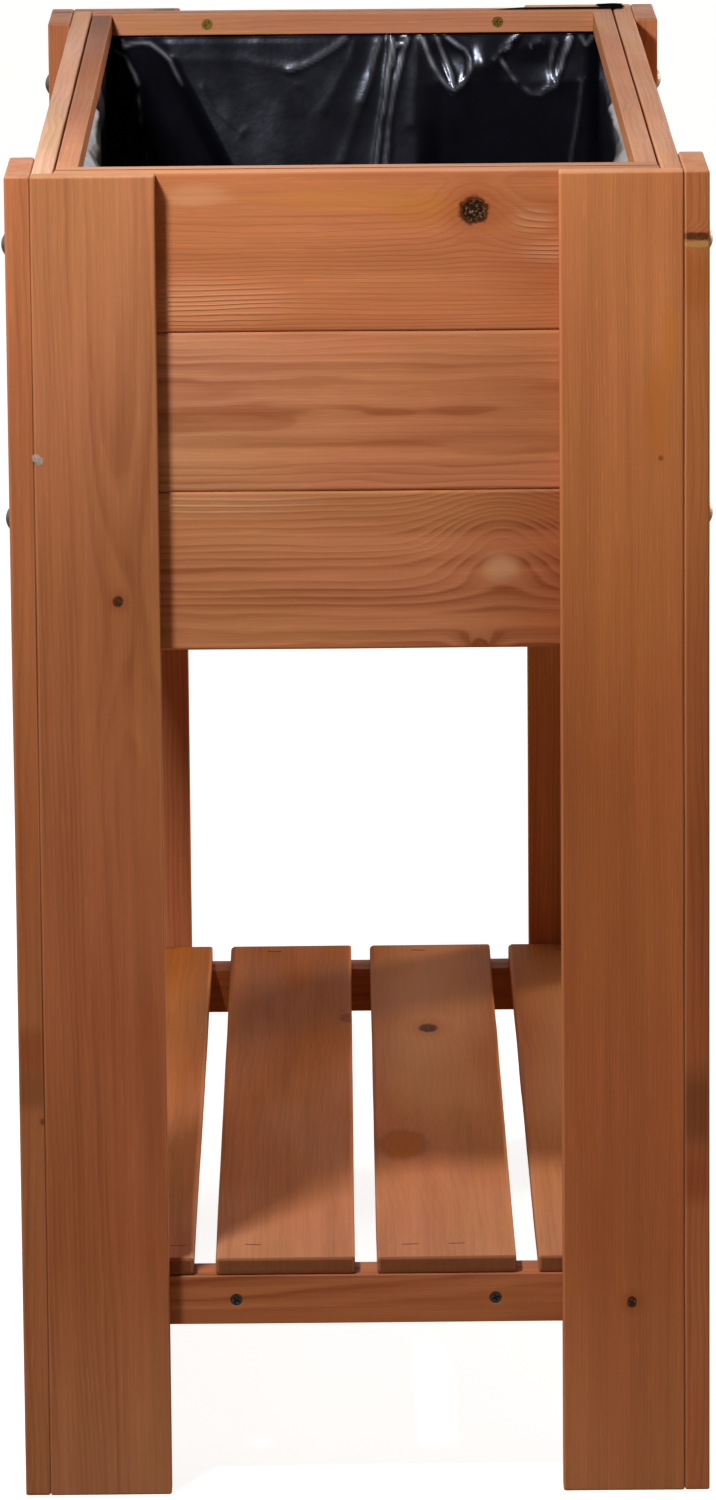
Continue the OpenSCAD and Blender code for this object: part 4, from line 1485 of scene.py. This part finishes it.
radius = CORNER_MM * MM
inner = np.clip(film_points[:, :2], liner_low[:2] + radius, liner_high[:2] - radius)
over = film_points[:, :2] - inner
drawn_in = np.minimum(1.0, radius / np.maximum(np.linalg.norm(over, axis=1), 1e-9))
drawn_in = 1 + (drawn_in - 1) * smooth(0.0, CORNER_MM, depth)
film_points[:, :2] = inner + over * drawn_in[:, None]
print("film reaches inwards by at most", round(float(np.abs(push[:, :2]).max()), 1), "mm")

# %% [markdown]
# ## Finish of the film
#
# Polyethylene film from a roll, blown and glossy: black to look into, with sharp lights on
# every fold. Fine puckers about 4 mm wide break those lights up, a thin haze of dust dulls
# it, and a pale painted highlight runs along each fold's crest.


def black_film(name, gloss=0.40):
    """Glossy black polyethylene, with a pale painted highlight where the attribute crest says so.
    """
    material = bpy.data.materials.new(name)
    add = emptied(material)
    where = add("ShaderNodeTexCoord").node.outputs["Object"]
    haze = add("noise", where, 30.0, 3.0, 0.6)
    puckers = add("noise", where, 260.0)
    dust = add("mix", haze, linear("#0B0B10"), linear("#15161D"))
    crest = add("ShaderNodeAttribute", attribute_name="crest").node.outputs["Fac"]
    # The pale colour on the crests is a painted highlight.
    pale = add("mix", add("multiply", crest, 0.9), dust, linear("#BEC0CC"))
    film = add(
        "ShaderNodeBsdfPrincipled", Base_Color=pale,
        Roughness=add("range", haze, 0.3, 0.7, 0.17, 0.26),
        Normal=add("ShaderNodeBump", Height=puckers, Strength=0.5, Distance=0.12 * MM),
        IOR=1.45, Specular_IOR_Level=gloss, Specular_Tint=(0.75, 0.79, 0.97, 1.0),
    )
    add("ShaderNodeOutputMaterial", film)
    return material


film_mesh = mesh_of("film", film_points, film_quads)
crest_layer = film_mesh.attributes.new("crest", "FLOAT", "POINT")
crest_layer.data.foreach_set("value", crest_highlight_share.astype(np.float32))
film_black = black_film("polyethylene_film_black")
film = piece("black_film", film_mesh, film_black, "pe_film", "planter_liner")
print("film triangles:", sum(len(p.vertices) - 2 for p in film_mesh.polygons))

# %% [markdown]
# ## The ear of film on the far right corner
#
# When the sheet was folded at the corner, a small ear of it stayed out, and lies flat on top
# of the leg's end boards. It is a thin box of grid lines with a soft wave and ragged sides,
# and has no gloss, because it lies level and would only show the sky.

# %% Ear of film
EAR_X, EAR_Y, EAR_THICK, LEG_TOP = (168, 185), (403, 432.5), 0.25, 800.15  # mm

ear_grid = np.linspace(*EAR_X, 18), np.linspace(*EAR_Y, 21), (0.0, EAR_THICK)
ear_points, ear_quads = box_grid(*ear_grid)
ear_x, ear_y, ear_z = ear_points.T
wave = 0.35 + 0.15 * np.sin(ear_x * 0.4 + ear_y * 0.10) + 0.10 * np.sin(ear_y * 0.3)
middle = smooth(0.0, 3.0, np.minimum(ear_x - EAR_X[0], EAR_X[1] - ear_x))
ear_points[:, X] += np.sin(ear_y * 0.35) * (1 - middle)
ear_points[:, Z] = LEG_TOP + ear_z + wave * (0.4 + 0.6 * middle)
ear_mesh = mesh_of("film_ear", ear_points * MM, ear_quads)
ear_mesh.set_sharp_from_angle(angle=math.radians(40))
piece("film_ear", ear_mesh, black_film("polyethylene_film_dull", gloss=0.0), "pe_film")
print("film ear faces:", len(ear_mesh.polygons))

# %% [markdown]
# ## Glue on the left seam
#
# A bead of glue squeezed out between the two boards of the left leg, then dried and chipped.
# A small ball with few faces, flattened and pulled out of round by noise, is enough for it.
# Dried wood glue is milky and dull, darker where it is thin.

# %% Glue
BEAD = Vector((-189.0, -433.9, 632.6))  # mm
BEAD_HALF, BEAD_DEEP, BEAD_SLANT = 3.9, 0.5, 0.9

bead = bmesh.new()
bmesh.ops.create_icosphere(bead, subdivisions=1, radius=1.0)
for vert in bead.verts:
    x, y, z = vert.co
    size = BEAD_HALF * (1.0 + 0.6 * noise.noise(vert.co * 1.7 + Vector((4.0, 1.0, 2.0))))
    vert.co = (BEAD + Vector((x * size, y * BEAD_DEEP, z * size - x * BEAD_SLANT))) * MM
glue = bpy.data.materials.new("dried_wood_glue")
add = emptied(glue)
spots = add("noise", add("ShaderNodeTexCoord").node.outputs["Object"], 900.0)
milky = add("mix", spots, linear("#BFAEA2"), linear("#8E7464"))
dried = add("ShaderNodeBsdfPrincipled", Base_Color=milky, Roughness=0.5)
add("ShaderNodeOutputMaterial", dried)
bead_piece = piece("glue_bead", from_bmesh("glue_bead", bead), glue, None)
print("glue bead faces:", len(bead_piece.data.polygons))

# %% [markdown]
# ## The white studio
#
# The camera sees a white sky at full strength, and every gloss sees it nearly so, dimmer only
# behind the camera. The wood gets a warm, softer fill, mostly from behind, where the studio
# was open. Light Path tells the three apart, so the background is white without more light
# on the object. The floor is white paper that glows for the camera and keeps the shadow.

# %% World and floor
WHITE, WARM = (1.0, 1.0, 1.0, 1.0), (1.0, 0.76, 0.50, 1.0)
HALF_FLOOR = 20.0

world = bpy.data.worlds.new("white_studio")
bpy.context.scene.world = world
add = emptied(world)
coordinates = add("ShaderNodeTexCoord").node.outputs["Generated"]
_, ahead, up = add("split", coordinates).node.outputs
around = add("smooth_range", ahead, -0.8, 0.35, 0.03, 0.9)
above = add("smooth_range", up, 0.3, 0.9, 1.0, 0.35)
fill = add("ShaderNodeBackground", WARM, add("multiply", around, above))
behind_camera = add("smooth_range", ahead, -0.9, -0.3, 0.15, 1.0)
mirrored = add("ShaderNodeBackground", WHITE, behind_camera)
white = add("ShaderNodeBackground", WHITE, 1.0)
ray = add("ShaderNodeLightPath").node.outputs
gloss = add("maximum", ray["Is Glossy Ray"], ray["Is Transmission Ray"])
unseen = add("ShaderNodeMixShader", gloss, fill, mirrored)
seen = add("ShaderNodeMixShader", ray["Is Camera Ray"], unseen, white)
add("ShaderNodeOutputWorld", seen)

paper = bpy.data.materials.new("white_paper_floor")
add = emptied(paper)
matt = add("ShaderNodeBsdfDiffuse", (0.46, 0.54, 0.68, 1.0))
dim = add("ShaderNodeBsdfDiffuse", (0.46, 0.40, 0.34, 1.0))
lit = add("ShaderNodeAddShader", matt, add("ShaderNodeEmission", WHITE, 0.86))
seen = add("ShaderNodeLightPath").node.outputs["Is Camera Ray"]
add("ShaderNodeOutputMaterial", add("ShaderNodeMixShader", seen, dim, lit))
corners = np.array([(-1, -1, 0), (1, -1, 0), (1, 1, 0), (-1, 1, 0)]) * HALF_FLOOR
floor = linked("floor", mesh_of("floor", corners, [(0, 1, 2, 3)]))
floor.data.materials.append(paper)
print("sky nodes:", len(world.node_tree.nodes))

# %% [markdown]
# ## Two lamps
#
# One small bright lamp close to the bed, up and to the left, gives the sharp shadow of the
# left leg and the fall of light from the rim to the feet. Its light falls off with distance
# and not with its square, since walls near it throw some back. A large warm lamp low on the
# right, behind the bed, lifts the far ends of the slats.

# %% Lamps
def place_lamp(name, kind, where, aim, watts):
    """A lamp that lights the object and isn't seen itself."""
    data = bpy.data.lights.new(name, kind)
    data.energy = watts
    thing = linked(name, data)
    thing.location = where
    thing.rotation_euler = (Vector(aim) - Vector(where)).to_track_quat("-Z", "Y").to_euler()
    thing.visible_camera = False
    return data


key = place_lamp("key_lamp", "POINT", (-0.376, -0.91, 1.337), (0, 0, 0.5), 39.5)
key.shadow_soft_size = 0.07
add = emptied(key)
falloff = add("ShaderNodeLightFalloff", 1.0).node.outputs["Linear"]
add("ShaderNodeOutputLight", add("ShaderNodeEmission", Strength=falloff))
side = place_lamp("side_lamp", "AREA", (2.3, 2.0, 0.95), (0, 0, 0.14), 56.0)
side.shape, side.size, side.color = "DISK", 0.9, (1.0, 0.82, 0.60)
print("lamps:", len(bpy.data.lights))

# %% [markdown]
# ## The view transform
#
# The dressed model has to fill the box of the CAD model. Only the ear of film and the bead of
# glue stand a little out of the CAD model's box. The scene shows its colours through the
# Standard view transform.

# %% View transform
bpy.context.scene.view_settings.view_transform = "Standard"
